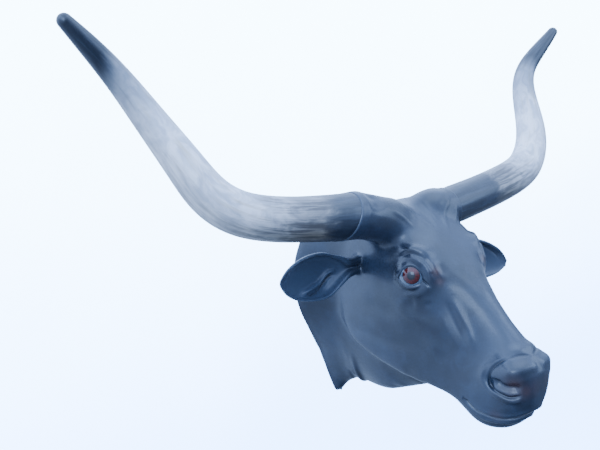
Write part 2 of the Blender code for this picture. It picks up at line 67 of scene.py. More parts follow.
# ---- skin ----
FLESH_NODES = ("head", "muzzle", "lower_jaw", "neck")
WELD_REACH = 0.00001
SEAM_OVERLAP = 0.0004  # each flesh node grows by this, so that the thin gaps between them close
CLAY_GRAIN = 0.0024
CLAY_ROUNDS = 45  # rounds of smoothing, to take the facets out
CLAY_SWELL = 0.0005  # gives back what smoothing takes
SKIN_GRAIN = 0.0017
SKIN_ROUNDS = 4
FINE_ROUNDS = 2
RELAX_SHARE = 0.5  # how far a round of smoothing draws a point to the middle of its neighbours
RELIEF_ROUNDS = (8, 60)  # smoothing that tells the skin's fine relief, and then its broad relief
PANEL_POCKET = 0.0123  # depth of the pocket for the board behind the neck
WALL_PLUG = (
    # place along Y, and size against the neck's rim
    (-0.016, 0.966),
    (0.0, 1.006),
    (0.030, 1.07),
)
BOX_MARGIN = 0.0003  # kept clear inside the solids' box
BOX_EASE = 0.006  # depth over which what stands out in front of it is eased back
PLUG_SEGMENTS = 32
NOSTRIL_PLUGS = (
    # along, side, height and radius of balls that round out each nostril
    (0.484, 0.050, -0.085, 0.024),
    (0.455, 0.058, -0.070, 0.018),
)
TEMPLE_FILL = (
    # along, side, height and radius of balls whose hull fills the corner under the right horn's long root
    (0.054, 0.180, -0.026, 0.030),
    (0.060, 0.120, -0.056, 0.030),
    (0.030, 0.184, -0.070, 0.020),
    (0.034, 0.118, -0.128, 0.026),
)
CALM_TEMPLE = (0.050, 0.160, -0.060)  # along, side and height of the middle of the softened temple
TEMPLE_REACH = (0.095, 0.060)  # distances at which the temple's softening ends, and at which it is full
TEMPLE_ROUNDS = 150
NECK_TIP = (0.0, 0.0, -0.2885)
TIP_REACH = (0.012, 0.050)  # the neck's lower tip keeps its sharp corner within these distances
TIP_ROUNDS = 8  # smoothing that the tip still gets
FINE_SPOTS = (
    # along, side, height and reach of the places where the skin's grid is made finer
    (0.168, 0.110, -0.060, 0.062),
    (0.482, 0.062, -0.075, 0.052),
    (0.505, 0.050, -0.150, 0.048),
    (0.545, 0.010, -0.115, 0.045),
)

# ---- horn collars: where the skin ends round a horn's root; all along the horn, outward ----
COLLAR_FULL = -0.012
COLLAR_START = -0.032
COLLAR_ROLL = 0.0045
COLLAR_RISE = 0.0026
COLLAR_END = 0.018  # a little past the stub
COLLAR_CORE = 0.5  # the share of the root's radius inside which nothing moves
COLLAR_ROUND = 0.03  # how far outside the root's radius the skin still follows
STUB_SINK = 0.0020
BURRS = (
    # distance from the skin's end, width and rise of the rings round the horn's root
    (0.0090, 0.0070, 0.0018),
    (0.0195, 0.0035, -0.0012),
    (0.0270, 0.0080, 0.0008),
)

# ---- horns, as in the solids ----
HORN_SEAT = 0.016
HORN_STUB = 0.012  # how far the skin goes on inside a horn
STUB_GAP = 0.003
SOCKET_FILL = (-0.020, -0.001, 0.0015)  # start and end of the filling of a horn's socket, and its growth
HORN_TIP_DRAW = 0.0027  # draws the tip in, to stay inside the solids' box
HORN_ROOTS = {-1: Vector((0.2325, -0.2700, 0.3115)), 1: Vector((0.1100, -0.2810, 0.2910))}
ROOT_RADIUS = {-1: 0.0520, 1: 0.0485}
ROOT_LEAN = {-1: 0.41, 1: 0.20}
LEAN_FADE = 0.120
HORN_COURSE = (
    # control points beyond the root, on the left side, and the radius there
    (0.423, -0.253, 0.321, 0.050),
    (0.538, -0.224, 0.356, 0.048),
    (0.587, -0.194, 0.445, 0.042),
    (0.633, -0.116, 0.548, 0.034),
    (0.678, -0.080, 0.630, 0.028),
    (0.746, -0.101, 0.694, 0.022),
    (0.800, -0.104, 0.746, 0.013),
)
HORN_LENGTHS = 240
HORN_SIDES = 56
TIP_ANGLES = range(6, 90, 6)

# ---- eyes ----
EYE_ALONG = 0.168
EYE_SIDE = 0.100
EYE_HEIGHT = -0.067
EYE_RADIUS = 0.034
EYE_MOUND = 0.0400  # radius of the clay over the eyeball
MOUND_SEGMENTS = 48
EYE_REACH = 0.100
EYE_SEGMENTS = 128
CORNEA_RISE = 0.0012
CORNEA_FADE = (8.0, 34.0)  # degrees off the gaze
OPENING_AXIS = (0.2208, 0.7827, 0.5820)  # in the head's frame, as (along, outward, height)
FISSURE_AXIS = (0.6897, -0.5472, 0.4743)
LID_AXIS = (-0.6897, -0.2967, 0.6606)
GAZE_AXIS = (0.352, 0.808, 0.485)
LID_RADIUS = 0.0352
LID_LIMITS = (0.046, 0.054)  # distances from the eye's centre over which the lids let go of the clay
FOLDS_FADE = (-0.030, 0.0)  # places along the opening's axis over which the folds set in
EYE_OPENING = (
    # outline in mm along the fissure and the lid axis, as seen on a ball of LID_RADIUS
    (-29.0, -14.0), (-25.0, -4.5), (-21.0, 4.5), (-15.0, 10.8), (-8.5, 14.6), (-1.5, 16.2), (5.5, 15.2),
    (12.0, 12.0), (18.0, 7.6), (23.5, 1.6), (28.0, -5.5), (30.0, -12.0), (26.5, -17.4), (21.0, -22.0),
    (15.0, -25.6), (8.5, -28.6), (1.0, -30.4), (-7.0, -30.8), (-13.5, -29.0), (-19.5, -25.5), (-25.5, -20.2),
)
LID_PROFILE = (
    # distance outward from the opening's edge in mm, distance from the eye's centre in mm, hold over the clay
    (-60.0, 30.0, 1.0),
    (-3.0, 30.0, 1.0),
    (-0.6, 33.6, 1.0),
    (0.0, 34.7, 1.0),
    (0.8, 36.6, 1.0),
    (2.0, 37.8, 1.0),
    (3.6, 38.3, 0.9),
    (6.5, 38.8, 0.6),
    (10.0, 39.4, 0.3),
    (16.0, 40.0, 0.0),
    (90.0, 40.0, 0.0),
)

# ---- sculpted strokes ----
# name: (rise out of the skin in mm, half width in mm, fade at the start, fade at the end, path in mm)
# Paths over the head are (along, outward, height) in its own frame, and serve both sides.
PATH_STEPS = 5
STROKE_REACH = 3.0  # half widths beyond which a stroke does nothing
FORMS = {
    "temple": (-3.5, 22, 0.4, 0.4, ((60, 112, -40), (90, 117, -72), (112, 119, -105))),
    "cheek_band": (
        -3.0, 17, 0.3, 0.3,
        ((95, 113, -338), (150, 118, -312), (205, 117, -272), (262, 106, -225), (315, 94, -180)),
    ),
    "cheek_hollow": (
        -4.0, 18, 0.4, 0.4, ((101, 119, -223), (142, 121, -213), (184, 118, -193), (215, 112, -165)),
    ),
    "cheekbone": (
        4.0, 14, 0.4, 0.5,
        ((150, 121, -150), (209, 113, -150), (243, 105, -140), (281, 92, -124), (330, 80, -110)),
    ),
    "jaw_muscle": (2.0, 13, 0.5, 0.5, ((281, 98, -163), (302, 93, -160), (355, 81, -145))),
    "vein": (
        2.8, 9, 0.3, 0.3,
        ((256, 67, -43), (284, 64, -49), (313, 61, -58), (341, 60, -65), (367, 62, -75), (392, 65, -88)),
    ),
    "vein_gap": (
        -2.4, 8, 0.3, 0.3,
        ((252, 76, -50), (271, 74, -60), (296, 71, -70), (324, 68, -79), (346, 67, -84), (368, 68, -93)),
    ),
    "vein_side": (1.8, 9, 0.3, 0.3, ((262, 86, -80), (285, 82, -88), (318, 78, -100), (369, 72, -112))),
    "forehead_outer": (
        2.4, 8, 0.3, 0.4, ((33, 139, 25), (47, 109, 14), (60, 87, 2), (83, 72, -3), (107, 64, -2)),
    ),
    "forehead_middle": (
        2.0, 7, 0.3, 0.4, ((22, 90, 13), (38, 63, 6), (58, 42, 0), (85, 30, 2), (112, 19, 2), (137, 6, 2)),
    ),
    "forehead_inner": (1.5, 8, 0.3, 0.5, ((5, 7, -17), (44, 6, -3), (86, 5, 2), (126, 14, 2))),
    "nostril_rim": (
        3.2, 7, 0.3, 0.1,
        ((430, 62, -50), (430, 66, -75), (433, 70, -93), (443, 73, -105), (465, 72, -107), (485, 72, -102),
         (505, 68, -94), (519, 59, -85), (527, 50, -74), (526, 46, -62)),
    ),
    "muzzle_fold": (2.4, 9, 0.3, 0.35, ((427, 52, -38), (433, 41, -24), (441, 19, -13), (447, 0, -10))),
    "nostril_lobe": (
        4.0, 12, 0.25, 0.2, ((468, 72, -52), (473, 62, -34), (479, 42, -21), (484, 18, -14), (487, 0, -13)),
    ),
    "nostril_deep": (
        -12.0, 9.0, 0.2, 0.2,
        ((460, 73, -70), (468, 74, -75), (481, 73, -74), (494, 69, -67), (504, 61, -57), (514, 49, -49)),
    ),
    "pad_ridge": (1.2, 9, 0.3, 0.0, ((492, 62, -42), (499, 48, -33), (503, 28, -25), (504, 0, -21))),
    "upper_lip": (
        2.4, 6, 0.3, 0.0,
        ((468, 72, -173), (492, 68, -166), (513, 62, -151), (529, 56, -135), (540, 47, -119), (548, 33, -104),
         (552, 16, -90), (553, 0, -86)),
    ),
    "throat_fold": (2.0, 13, 0.4, 0.2, ((121, 77, -442), (160, 55, -478), (178, 30, -530))),
    "throat_bump": (6.5, 11, 0.6, 0.0, ((140, 74, -425), (172, 57, -462), (193, 30, -500), (204, 0, -521))),
    "throat_notch": (-2.0, 8, 0.6, 0.0, ((165, 45, -495), (180, 25, -530), (187, 0, -553))),
}
NEAR_FORMS = {
    # on the steer's right side only
    "root_dip": (-6.0, 20, 0.4, 0.3, ((48, 172, 16), (32, 168, 27), (8, 166, 33), (-20, 164, 26))),
}
LINES = {
    "nostril_groove": (
        -4.5, 3.4, 0.25, 0.1,
        ((452, 38, -18), (446, 52, -27), (441, 62, -42), (440, 68, -58), (445, 71, -76), (454, 69, -91),
         (471, 68, -98), (493, 71, -89), (511, 62, -80), (519, 52, -67), (520, 46, -58)),
    ),
    "muzzle_groove": (-1.8, 3.6, 0.2, 0.3, ((446, 52, -27), (452, 33, -16), (460, 12, -11), (465, 0, -10))),
    "mouth_corner": (-2.4, 5.0, 0.3, 0.3, ((444, 76, -186), (452, 75, -184), (464, 73, -182))),
    "mouth": (
        -5.5, 2.9, 0.1, 0.0,
        ((448, 75, -181), (464, 72, -182), (483, 69, -181), (501, 65, -170), (517, 59, -160), (531, 53, -149),
         (541, 45, -137), (549, 33, -126), (554, 19, -112), (555, 0, -98)),
    ),
    "lower_lip": (
        2.4, 4.2, 0.3, 0.0,
        ((490, 65, -192), (508, 60, -182), (528, 52, -165), (542, 43, -151), (551, 29, -137), (556, 11, -123),
         (556, 0, -119)),
    ),
}
# Paths round the eye are (along the fissure, along the lid axis), as seen along the opening's axis.
EYE_STROKES = {
    "lid_crease": (
        -4.2, 4.6, 0.25, 0.25,
        ((-40, 28), (-33, 34), (-21, 41), (-9, 45), (3, 44), (15, 41), (27, 36), (37, 28), (45, 19), (53, 10),
         (61, 1)),
    ),
    "lid_edge": (1.0, 3.0, 0.3, 0.3, ((-16, 15), (-8, 19), (3, 18), (13, 16), (21, 11))),
    "lid_band": (1.8, 8.0, 0.3, 0.3, ((-25, 24), (-15, 30), (-2, 32), (14, 28), (27, 20))),
    "brow": (6.0, 11.5, 0.35, 0.4, ((-34, 42), (-23, 50), (-12, 55), (4, 57), (20, 55), (34, 49), (46, 39))),
    "brow_top": (-1.6, 7.0, 0.4, 0.4, ((-42, 62), (-25, 66), (-7, 68), (14, 69), (30, 64))),
    "nose_ridge": (2.2, 7.0, 0.3, 0.3, ((31, 41), (40, 34), (50, 24), (58, 13), (66, 2), (74, -9))),
    "nose_dent": (-2.6, 8.0, 0.3, 0.3, ((52, 32), (62, 25), (71, 16), (78, 4))),
    "tear_duct": (-3.4, 3.0, 0.05, 0.3, ((28, -8), (34, -13), (41, -19), (49, -26))),
    "tear_side": (-2.2, 5.0, 0.3, 0.3, ((42, 12), (50, 6), (60, -3), (68, -13))),
    "outer_corner": (1.4, 3.5, 0.3, 0.3, ((-31, -17), (-37, -20), (-43, -23))),
    "lower_rim": (0.9, 2.4, 0.2, 0.2, ((-24, -27), (-14, -33), (-4, -35), (6, -34), (16, -30), (25, -24))),
    "under_lid": (-2.6, 4.0, 0.3, 0.3, ((-24, -36), (-14, -40), (-3, -42), (9, -40), (21, -35), (33, -27))),
    "under_fold": (1.6, 6.0, 0.3, 0.3, ((-22, -50), (-8, -50), (8, -48), (20, -47), (34, -40))),
    "pouch": (-3.4, 13.0, 0.3, 0.3, ((-14, -78), (2, -73), (18, -68))),
    "pouch_pit": (-1.8, 5.0, 0.3, 0.3, ((34, -65), (43, -65), (54, -61))),
    "pouch_ridge": (1.4, 5.0, 0.3, 0.3, ((30, -57), (42, -56), (56, -53))),
}
EYE_CALM = (0.043, 0.056)  # distances from the eye's centre over which the folds are softened
CALM_ROUNDS = 26
EAR_ROOT = (0.122, -0.196, 0.160)  # where an ear's root is softened into the head, on the left side
EAR_ROOT_REACH = (0.052, 0.026)
EAR_ROOT_ROUNDS = 40
CALM_NOSE = ((0.424, 0.052, -0.040), (0.036, 0.014), 25)  # place, reach and rounds
PAD_PUSH = ((482, 44, -28), 28, (2, 2, 2))  # centre (along, outward, height), radius, and move, in mm
# Paths on an ear's open face are (share of its length, height over its middle line).
EAR_STROKES = {
    "rim_groove": (
        -2.8, 4.0, 0.2, 0.2, ((0.95, -5), (0.88, 17), (0.76, 31), (0.64, 37), (0.50, 36), (0.33, 27)),
    ),
    "rim": (2.0, 5.0, 0.2, 0.2, ((0.95, 6), (0.88, 29), (0.76, 42), (0.64, 48), (0.50, 48), (0.33, 36))),
    "ridge": (
        6.5, 6.0, 0.3, 0.2,
        ((0.76, -47), (0.60, -42), (0.49, -36), (0.42, -26), (0.36, -14), (0.29, -10), (0.21, -13)),
    ),
    "groove": (
        -4.5, 4.4, 0.3, 0.2, ((0.70, -50), (0.57, -53), (0.47, -49), (0.38, -35), (0.32, -23), (0.24, -20)),
    ),
}
EAR_START = (0.16, 0.34)  # shares of an ear's length over which its strokes set in
EAR_END = 1.02
EAR_FRONT = 0.036  # how far behind its middle line an ear's open face still reaches
EAR_FACING = -0.1  # a face looks to the front where its normal's part backward is below this
EAR_ZONE = (0.140, 0.180)  # distances from the plane of symmetry over which the skin turns into ear
EAR_TOP = 0.255  # the ears are below this height, and the horns' roots above it
EAR_CLEAR = 0.90  # the share of a broad hollow's painted shade that an ear doesn't take

FLUSHES = (
    # along, outward, height and radius in mm, and strength
    (500, 64, -52, 20, 0.9),
    (522, 46, -48, 18, 0.7),
    (520, 20, -40, 20, 0.4),
    (520, 62, -146, 14, 0.5),
    (204, 86, -16, 13, 0.9),
    (222, 81, -30, 11, 0.7),
    (120, 190, -40, 45, 0.5),
    (95, 215, -70, 40, 0.4),
)

# ---- ears, as in the solids, with the stalk carried on into the head ----
EAR_BASE = Vector((0.112, -0.194, 0.164))
EAR_TIPS = {-1: Vector((-0.386, -0.232, 0.172)), 1: Vector((0.380, -0.280, 0.092))}
EAR_STATIONS = (
    # share of the length, half width, rise of the middle, cup depth, thickness
    (-0.14, 0.028, -0.002, 0.026, 0.0250),
    (0.00, 0.026, -0.004, 0.026, 0.0250),
    (0.14, 0.026, -0.007, 0.026, 0.0230),
    (0.26, 0.040, -0.010, 0.029, 0.0140),
    (0.38, 0.053, -0.014, 0.031, 0.0085),
    (0.52, 0.059, -0.010, 0.029, 0.0065),
    (0.66, 0.057, -0.006, 0.025, 0.0060),
    (0.80, 0.048, -0.004, 0.019, 0.0055),
    (0.92, 0.031, -0.002, 0.011, 0.0050),
    (1.00, 0.008, 0.000, 0.004, 0.0040),
)
EAR_ROWS = 14  # sections between two stations
EAR_ARC = 40  # lengths round each face of the ear's shell
EAR_RIM = 7  # lengths round each rim

# ---- colours, as linear red, green and blue ----
SLATE_DEEP = (0.0075, 0.0110, 0.0190)
SLATE_PALE = (0.0150, 0.0240, 0.0420)
SLATE_COOL = (0.0190, 0.0310, 0.0540)
# the painted shade in the skin's folds and hollows
SLATE_DARK = (0.0030, 0.0032, 0.0052)
# paler slate: a painted highlight on the skin's ridges, and the paler streaks and smoky grey of the horns
SLATE_HIGHLIGHT_AND_SMOKE = (0.0480, 0.0680, 0.1000)
# the ears' paler slate: painted light in their cups
SLATE_EAR_PAINTED_LIGHT = (0.0420, 0.0580, 0.0880)
RED_BROWN = (0.0480, 0.0200, 0.0190)
HORN_PALE = (0.72, 0.72, 0.74)
HORN_GREY = (0.42, 0.44, 0.49)
HORN_CREAM = (0.52, 0.46, 0.35)
HORN_BEIGE = (0.105, 0.088, 0.066)
HORN_BROWN = (0.040, 0.035, 0.034)
IRIS_DEEP = (0.035, 0.006, 0.005)
IRIS_BRIGHT = (0.120, 0.010, 0.010)
EYE_DARK = (0.004, 0.004, 0.006)
EYE_WHITE = (0.100, 0.130, 0.170)
EYE_WHITE_DULL = (0.045, 0.045, 0.060)
PUPIL_ANGLE = 15.0  # degrees off the gaze
IRIS_ANGLE = 36.0
WOOD_PALE = (0.36, 0.25, 0.15)
WOOD_DARK = (0.22, 0.14, 0.08)
WOOD_PORE = (0.10, 0.06, 0.035)
SMOKE_REACH = 0.18  # how far before a horn's dark tip the smoky greying starts
HORN_MARKS = {
    # places along the horn where the dark root and the mottling end, and where the dark tip starts
    -1: (0.075, 0.300, 0.650),
    1: (0.185, 0.400, 0.735),
}

# ---- stage and light ----
WALL_SIZE = 7.0
WALL_PLACE = (0, 0.002, 0.6)
FLOOR_SIZE = 8.0
FLOOR_PLACE = (0, -3.0, -1.5)
WALL_COLOURS = ((0.84, 0.88, 0.91), (0.80, 0.86, 0.90))
WALL_GLOW = 14.0
GLOW_RISE = (-0.45, 1.0)  # heights over which the wall's glow changes: painted light, dimmer and bluer towards the bottom
WALL_GLOW_HIGH = (0.50, 0.74, 1.0)
WALL_GLOW_LOW = (0.17, 0.35, 0.78)
FLOOR_COLOURS = ((0.80, 0.84, 0.88), (0.76, 0.81, 0.86))
FLOOR_GLOW = 2.0
FLOOR_GLOW_COLOUR = (0.55, 0.75, 1.0)
SKY_COLOUR = (0.42, 0.60, 1.0)
SKY_PARTS = (
    # axis, from and to along it, and the strength there
    ("Z", -0.05, 0.9, 3.60),
    ("Y", -0.1, 0.8, 2.30),
    ("X", 0.1, -0.9, 2.10),
    ("X", -0.1, 0.9, 0.55),
    ("Y", 0.1, -0.9, 0.60),
)
SKY_LOW = (-0.65, 0.10, 0.62, 1.0)  # from and to these heights, the share of it that is left
LIGHT_TINT = (0.44, 0.63, 1.0)
LIGHT_TARGET = Vector((0.0, -0.35, 0.15))
LIGHTS = (
    # name, direction from the target, distance, size and power
    ("window", (-0.685, -0.575, 0.45), 3.2, 1.6, 46),
    ("side", (0.70, -0.60, 0.40), 2.6, 1.6, 27),
    ("top", (0.25, -0.20, 1.00), 1.9, 1.4, 14),
)

# ---- camera, at the photograph's viewing angle ----
CAMERA_PLACE = Vector((-1.3290, -1.4893, 0.6835))
CAMERA_YAW = radians(38.464)
CAMERA_PITCH = radians(13.451)
CAMERA_LENS = 44.27
CAMERA_SENSOR = 36.0


# ---- small helpers ----
def add_object(name, data):
    thing = bpy.data.objects.new(name, data)
    bpy.context.scene.collection.objects.link(thing)
    return thing


def mesh_from(bm, name):
    bmesh.ops.recalc_face_normals(bm, faces=bm.faces)
    mesh = bpy.data.meshes.new(name)
    bm.to_mesh(mesh)
    bm.free()
    return mesh


def rows_of(items, name, width=3, kind=np.float32):
    """What a mesh keeps under a name for each of its vertices or edges, as rows."""
    rows = np.empty(len(items) * width, kind)
    items.foreach_get(name, rows)
    return rows.reshape(-1, width)


def points_of(mesh):
    return rows_of(mesh.vertices, "co").astype(float)


def normals_of(mesh):
    return rows_of(mesh.vertex_normals, "vector").astype(float)


def edges_of(mesh):
    return rows_of(mesh.edges, "vertices", 2, np.int32)


def set_points(mesh, points):
    mesh.vertices.foreach_set("co", points.astype(np.float32).ravel())
    mesh.update()


def keep_attribute(mesh, name, rows):
    """Keeps a vector for each vertex, which the material reads."""
    layer = mesh.attributes.new(name, "FLOAT_VECTOR", "POINT")
    layer.data.foreach_set("vector", np.array(rows, np.float32).ravel())


def shade_smooth(mesh):
    mesh.polygons.foreach_set("use_smooth", [True] * len(mesh.polygons))


def near_path(places, path, reach):
    """Each place's distance from a path, and the share of the path's length at its nearest point."""
    distance = np.full(len(places), reach)
    share = np.zeros(len(places))
    inside = (places > path.min(axis=0) - reach) & (places < path.max(axis=0) + reach)
    chosen = np.flatnonzero(inside.all(axis=1))
    local = places[chosen]
    best = distance[chosen]
    best_share = share[chosen]
    steps = path[1:] - path[:-1]
    lengths = np.maximum(np.linalg.norm(steps, axis=1), 1e-9)
    starts = np.concatenate(((0.0,), np.cumsum(lengths)))
    for start, step, length, before in zip(path, steps, lengths, starts):
        t = np.clip((local - start) @ step / length**2, 0.0, 1.0)
        gap = np.linalg.norm(local - start - t[:, None] * step, axis=1)
        closer = gap < best
        best[closer] = gap[closer]
        best_share[closer] = (before + t[closer] * length) / starts[-1]
    distance[chosen] = best
    share[chosen] = best_share
    return distance, share


def stroke(places, path, rise, width, start_fade, end_fade):
    """How far each place is raised by a stroke along a path; sizes in metres."""
    reach = width * STROKE_REACH
    distance, share = near_path(places, path, reach)
    height = rise * np.exp(-((distance / width) ** 2)) * (distance < reach)
    if start_fade:
        height *= smooth_step(share, 0.0, start_fade)
    if end_fade:
        height *= smooth_step(1.0 - share, 0.0, end_fade)
    return height


def raised(places, strokes, laid):
    """How far a table of strokes raises each place; laid turns a stroke's path into points in metres."""
    rises = np.zeros(len(places))
    for rise, width, start_fade, end_fade, path in strokes.values():
        rises += stroke(places, laid(path), rise / 1000, width / 1000, start_fade, end_fade)
    return rises


def relax(points, edges, rounds):
    """Draws each point towards the middle of its neighbours, again and again."""
    a, b = edges.T
    size = len(points)
    neighbours = np.bincount(edges.ravel(), minlength=size)
    for _ in range(rounds):
        drawn = np.empty_like(points)
        for axis in range(3):
            line = points[:, axis]
            total = np.bincount(a, line[b], size) + np.bincount(b, line[a], size)
            drawn[:, axis] = total / neighbours
        points = points + (drawn - points) * RELAX_SHARE
    return points


def smooth_step(value, low, high):
    t = np.clip((value - low) / (high - low), 0.0, 1.0)
    return t * t * (3.0 - 2.0 * t)


def remeshed(mesh, grain):
    """The mesh's closed bodies run together on an even grid."""
    lump = add_object("lump", mesh)
    modifier = lump.modifiers.new("run_together", "REMESH")
    modifier.mode = "VOXEL"
    modifier.voxel_size = grain
    graph = bpy.context.evaluated_depsgraph_get()
    made = bpy.data.meshes.new_from_object(lump.evaluated_get(graph))
    bpy.data.objects.remove(lump, do_unlink=True)
    return made


def joined(meshes):
    bm = bmesh.new()
    for mesh in meshes:
        bm.from_mesh(mesh)
    made = bpy.data.meshes.new("forms")
    bm.to_mesh(made)
    bm.free()
    return made


def head_point(along, side, height):
    return Vector(POLL + HEAD_AXIS * along + HEAD_NORMAL * height) + Vector((side, 0.0, 0.0))


def head_places(points):
    """Points as (along, distance from the plane of symmetry, height)."""
    offset = points - POLL
    return np.stack((offset @ HEAD_AXIS, np.abs(points[:, 0]), offset @ HEAD_NORMAL), axis=1)


def catmull(a, b, c, d, t):
    square = 2 * a - 5 * b + 4 * c - d
    cube = 3 * b - a - 3 * c + d
    return 0.5 * (2 * b + (c - a) * t + square * t**2 + cube * t**3)


def smooth_path(rows, steps):
    """More rows, on a smooth curve through the given ones."""
    rows = np.array(rows, float)
    last = len(rows) - 1
    made = []
    for i in range(last):
        a, b, c, d = (rows[min(max(i + k - 1, 0), last)] for k in range(4))
        made += [catmull(a, b, c, d, j / steps) for j in range(steps)]
    return np.array(made + [rows[-1]])


def loft(rings, name):
    """A closed solid through rings of equal count, with fans at its ends."""
    bm = bmesh.new()
    rows = [[bm.verts.new(point) for point in ring] for ring in rings]
    count = len(rings[0])
    for low, high in zip(rows, rows[1:]):
        for i in range(count):
            j = (i + 1) % count
            bm.faces.new((low[i], low[j], high[j], high[i]))
    for row in (rows[0], rows[-1]):
        middle = bm.verts.new(sum((v.co for v in row), Vector()) / count)
        for i in range(count):
            bm.faces.new((row[i], row[(i + 1) % count], middle))
    return mesh_from(bm, name)


# ---- skin: the clay ----
def grown_node(name):
    """A welded copy of a flesh node, grown a little so that it runs into its neighbours."""
    bm = bmesh.new()
    bm.from_mesh(nodes[name].data)
    bmesh.ops.remove_doubles(bm, verts=bm.verts, dist=WELD_REACH)
    bmesh.ops.recalc_face_normals(bm, faces=bm.faces)
    bm.normal_update()
    moved = [vert.co + vert.normal * SEAM_OVERLAP for vert in bm.verts]
    for vert, place in zip(bm.verts, moved):
        vert.co = place
    return mesh_from(bm, name)


def is_wall_face(face):
    return abs(face.normal.y) > 0.999 and abs(face.calc_center_median().y) < 0.0001


def wall_rims():
    """The neck's flat face at the wall: the outline of the panel's pocket, and the neck's own, in order."""
    bm = bmesh.new()
    bm.from_mesh(nodes["neck"].data)
    bmesh.ops.remove_doubles(bm, verts=bm.verts, dist=WELD_REACH)
    bm.normal_update()
    rim = set()
    for edge in bm.edges:
        if sum(is_wall_face(face) for face in edge.link_faces) == 1:
            rim.add(edge)
    loops = []
    while rim:
        edge = rim.pop()
        start, vert = edge.verts
        loop = [vert.co.copy()]
        while vert != start:
            edge = next(other for other in vert.link_edges if other in rim)
            rim.remove(edge)
            vert = edge.other_vert(vert)
            loop.append(vert.co.copy())
        loops.append(loop)
    bm.free()
    loops.sort(key=lambda loop: max(point.x for point in loop))
    return loops[0], loops[-1]


def wall_plug():
    """Fills the pocket behind the neck, and carries its flare on through the wall."""
    _, rim = wall_rims()
    top = max(point.z for point in rim)
    rings = []
    for depth, scale in WALL_PLUG:
        rings.append([Vector((p.x * scale, depth, top - (top - p.z) * scale)) for p in rim])
    return loft(rings, "wall_plug")


def leaning_rod(side, start, end, radius, sides=40):
    """A round bar along a horn's root, whose ends lean as the root does. Places are outward from the root."""
    root = HORN_ROOTS[side]
    rings = []
    for out in (start, end):
        ring = []
        for i in range(sides):
            angle = 2 * pi * i / sides
            rise = radius * sin(angle)
            x = side * (root.x + out - ROOT_LEAN[side] * rise)
            ring.append(Vector((x, root.y + radius * cos(angle), root.z + rise)))
        rings.append(ring)
    return loft(rings, "rod")


def horn_plugs(side):
    """Fills the horn's socket, and stands a stub in the horn for the skin to lie down on."""
    start, end, growth = SOCKET_FILL
    radius = ROOT_RADIUS[side]
    return [
        leaning_rod(side, start, end, radius + growth),
        leaning_rod(side, start, HORN_STUB, radius - STUB_GAP),
    ]


def ball(centre, radius, segments=PLUG_SEGMENTS):
    bm = bmesh.new()
    bmesh.ops.create_uvsphere(bm, u_segments=segments, v_segments=segments // 2, radius=radius)
    bm.transform(Matrix.Translation(centre))
    return mesh_from(bm, "ball")


def hull(meshes):
    """The convex hull of several meshes' points."""
    bm = bmesh.new()
    for mesh in meshes:
        bm.from_mesh(mesh)
    bmesh.ops.delete(bm, geom=bm.faces[:], context="FACES_KEEP_BOUNDARY")
    made = bmesh.ops.convex_hull(bm, input=bm.verts[:])
    loose = [item for item in made["geom_interior"] if isinstance(item, bmesh.types.BMVert)]
    bmesh.ops.delete(bm, geom=loose, context="VERTS")
    return mesh_from(bm, "hull")


def calm(mesh, centre, reach, rounds):
    """Softens a mesh round a place: not at all at the first distance in reach, and in full at the second."""
    points = points_of(mesh)
    away = np.linalg.norm(points - np.array(centre), axis=1)
    share = smooth_step(-away, -reach[0], -reach[1])
    points += (relax(points, edges_of(mesh), rounds) - points) * share[:, None]
    set_points(mesh, points)


def eye_centre(side):
    return head_point(EYE_ALONG, side * EYE_SIDE, EYE_HEIGHT)


def head_vector(along, out, height, side):
    return HEAD_AXIS * along + HEAD_NORMAL * height + np.array((side * out, 0.0, 0.0))


def laid_path(tree, path, side):
    """A finer path over one side of the head, laid on the body's surface."""
    rows = smooth_path(np.array(path) / 1000, PATH_STEPS)
    return np.array([tree.find_nearest(head_point(a, side * out, h))[0] for a, out, h in rows])


def sculpt(mesh, strokes, sides=(-1, 1)):
    """Raises or sinks the body along strokes whose paths are given in the head's own frame."""
    points = points_of(mesh)
    tree = BVHTree.FromPolygons(points.tolist(), [tuple(face.vertices) for face in mesh.polygons])
    rises = np.zeros(len(points))
    for side in sides:
        chosen = np.flatnonzero(points[:, 0] * side >= 0.0)
        rises[chosen] += raised(points[chosen], strokes, lambda path: laid_path(tree, path, side))
    set_points(mesh, points + normals_of(mesh) * rises[:, None])


def push_pad(mesh):
    """Fills out the muzzle's pad over each nostril."""
    points = points_of(mesh)
    (along, out, height), radius, move = PAD_PUSH
    for side in SIDES.values():
        middle = np.array(head_point(along / 1000, side * out / 1000, height / 1000))
        away = np.linalg.norm(points - middle, axis=1) * 1000 / radius
        points += np.exp(-(away**2))[:, None] * head_vector(*move, side) / 1000
    set_points(mesh, points)


def clay():
    """The flesh nodes as one smooth body, without ears."""
    forms = [grown_node(name) for name in FLESH_NODES] + [wall_plug()]
    for side in SIDES.values():
        forms += horn_plugs(side)
        forms.append(ball(eye_centre(side), EYE_MOUND, MOUND_SEGMENTS))
        for along, out, height, radius in NOSTRIL_PLUGS:
            forms.append(ball(head_point(along, side * out, height), radius))
    fill = [ball(head_point(along, -out, height), radius) for along, out, height, radius in TEMPLE_FILL]
    forms.append(hull(fill))
    body = remeshed(joined(forms), CLAY_GRAIN)
    edges = edges_of(body)
    crisp = relax(points_of(body), edges, TIP_ROUNDS)
    points = relax(crisp, edges, CLAY_ROUNDS - TIP_ROUNDS)
    away = smooth_step(np.linalg.norm(crisp - np.array(NECK_TIP), axis=1), *TIP_REACH)
    set_points(body, crisp + (points - crisp) * away[:, None])
    along, out, height = CALM_TEMPLE
    calm(body, head_point(along, -out, height), TEMPLE_REACH, TEMPLE_ROUNDS)
    points = points_of(body)
    set_points(body, points + normals_of(body) * CLAY_SWELL)
    sculpt(body, FORMS)
    sculpt(body, NEAR_FORMS, (-1,))
    push_pad(body)
    (along, out, height), reach, rounds = CALM_NOSE
    for side in SIDES.values():
        calm(body, head_point(along, side * out, height), reach, rounds)
    return body


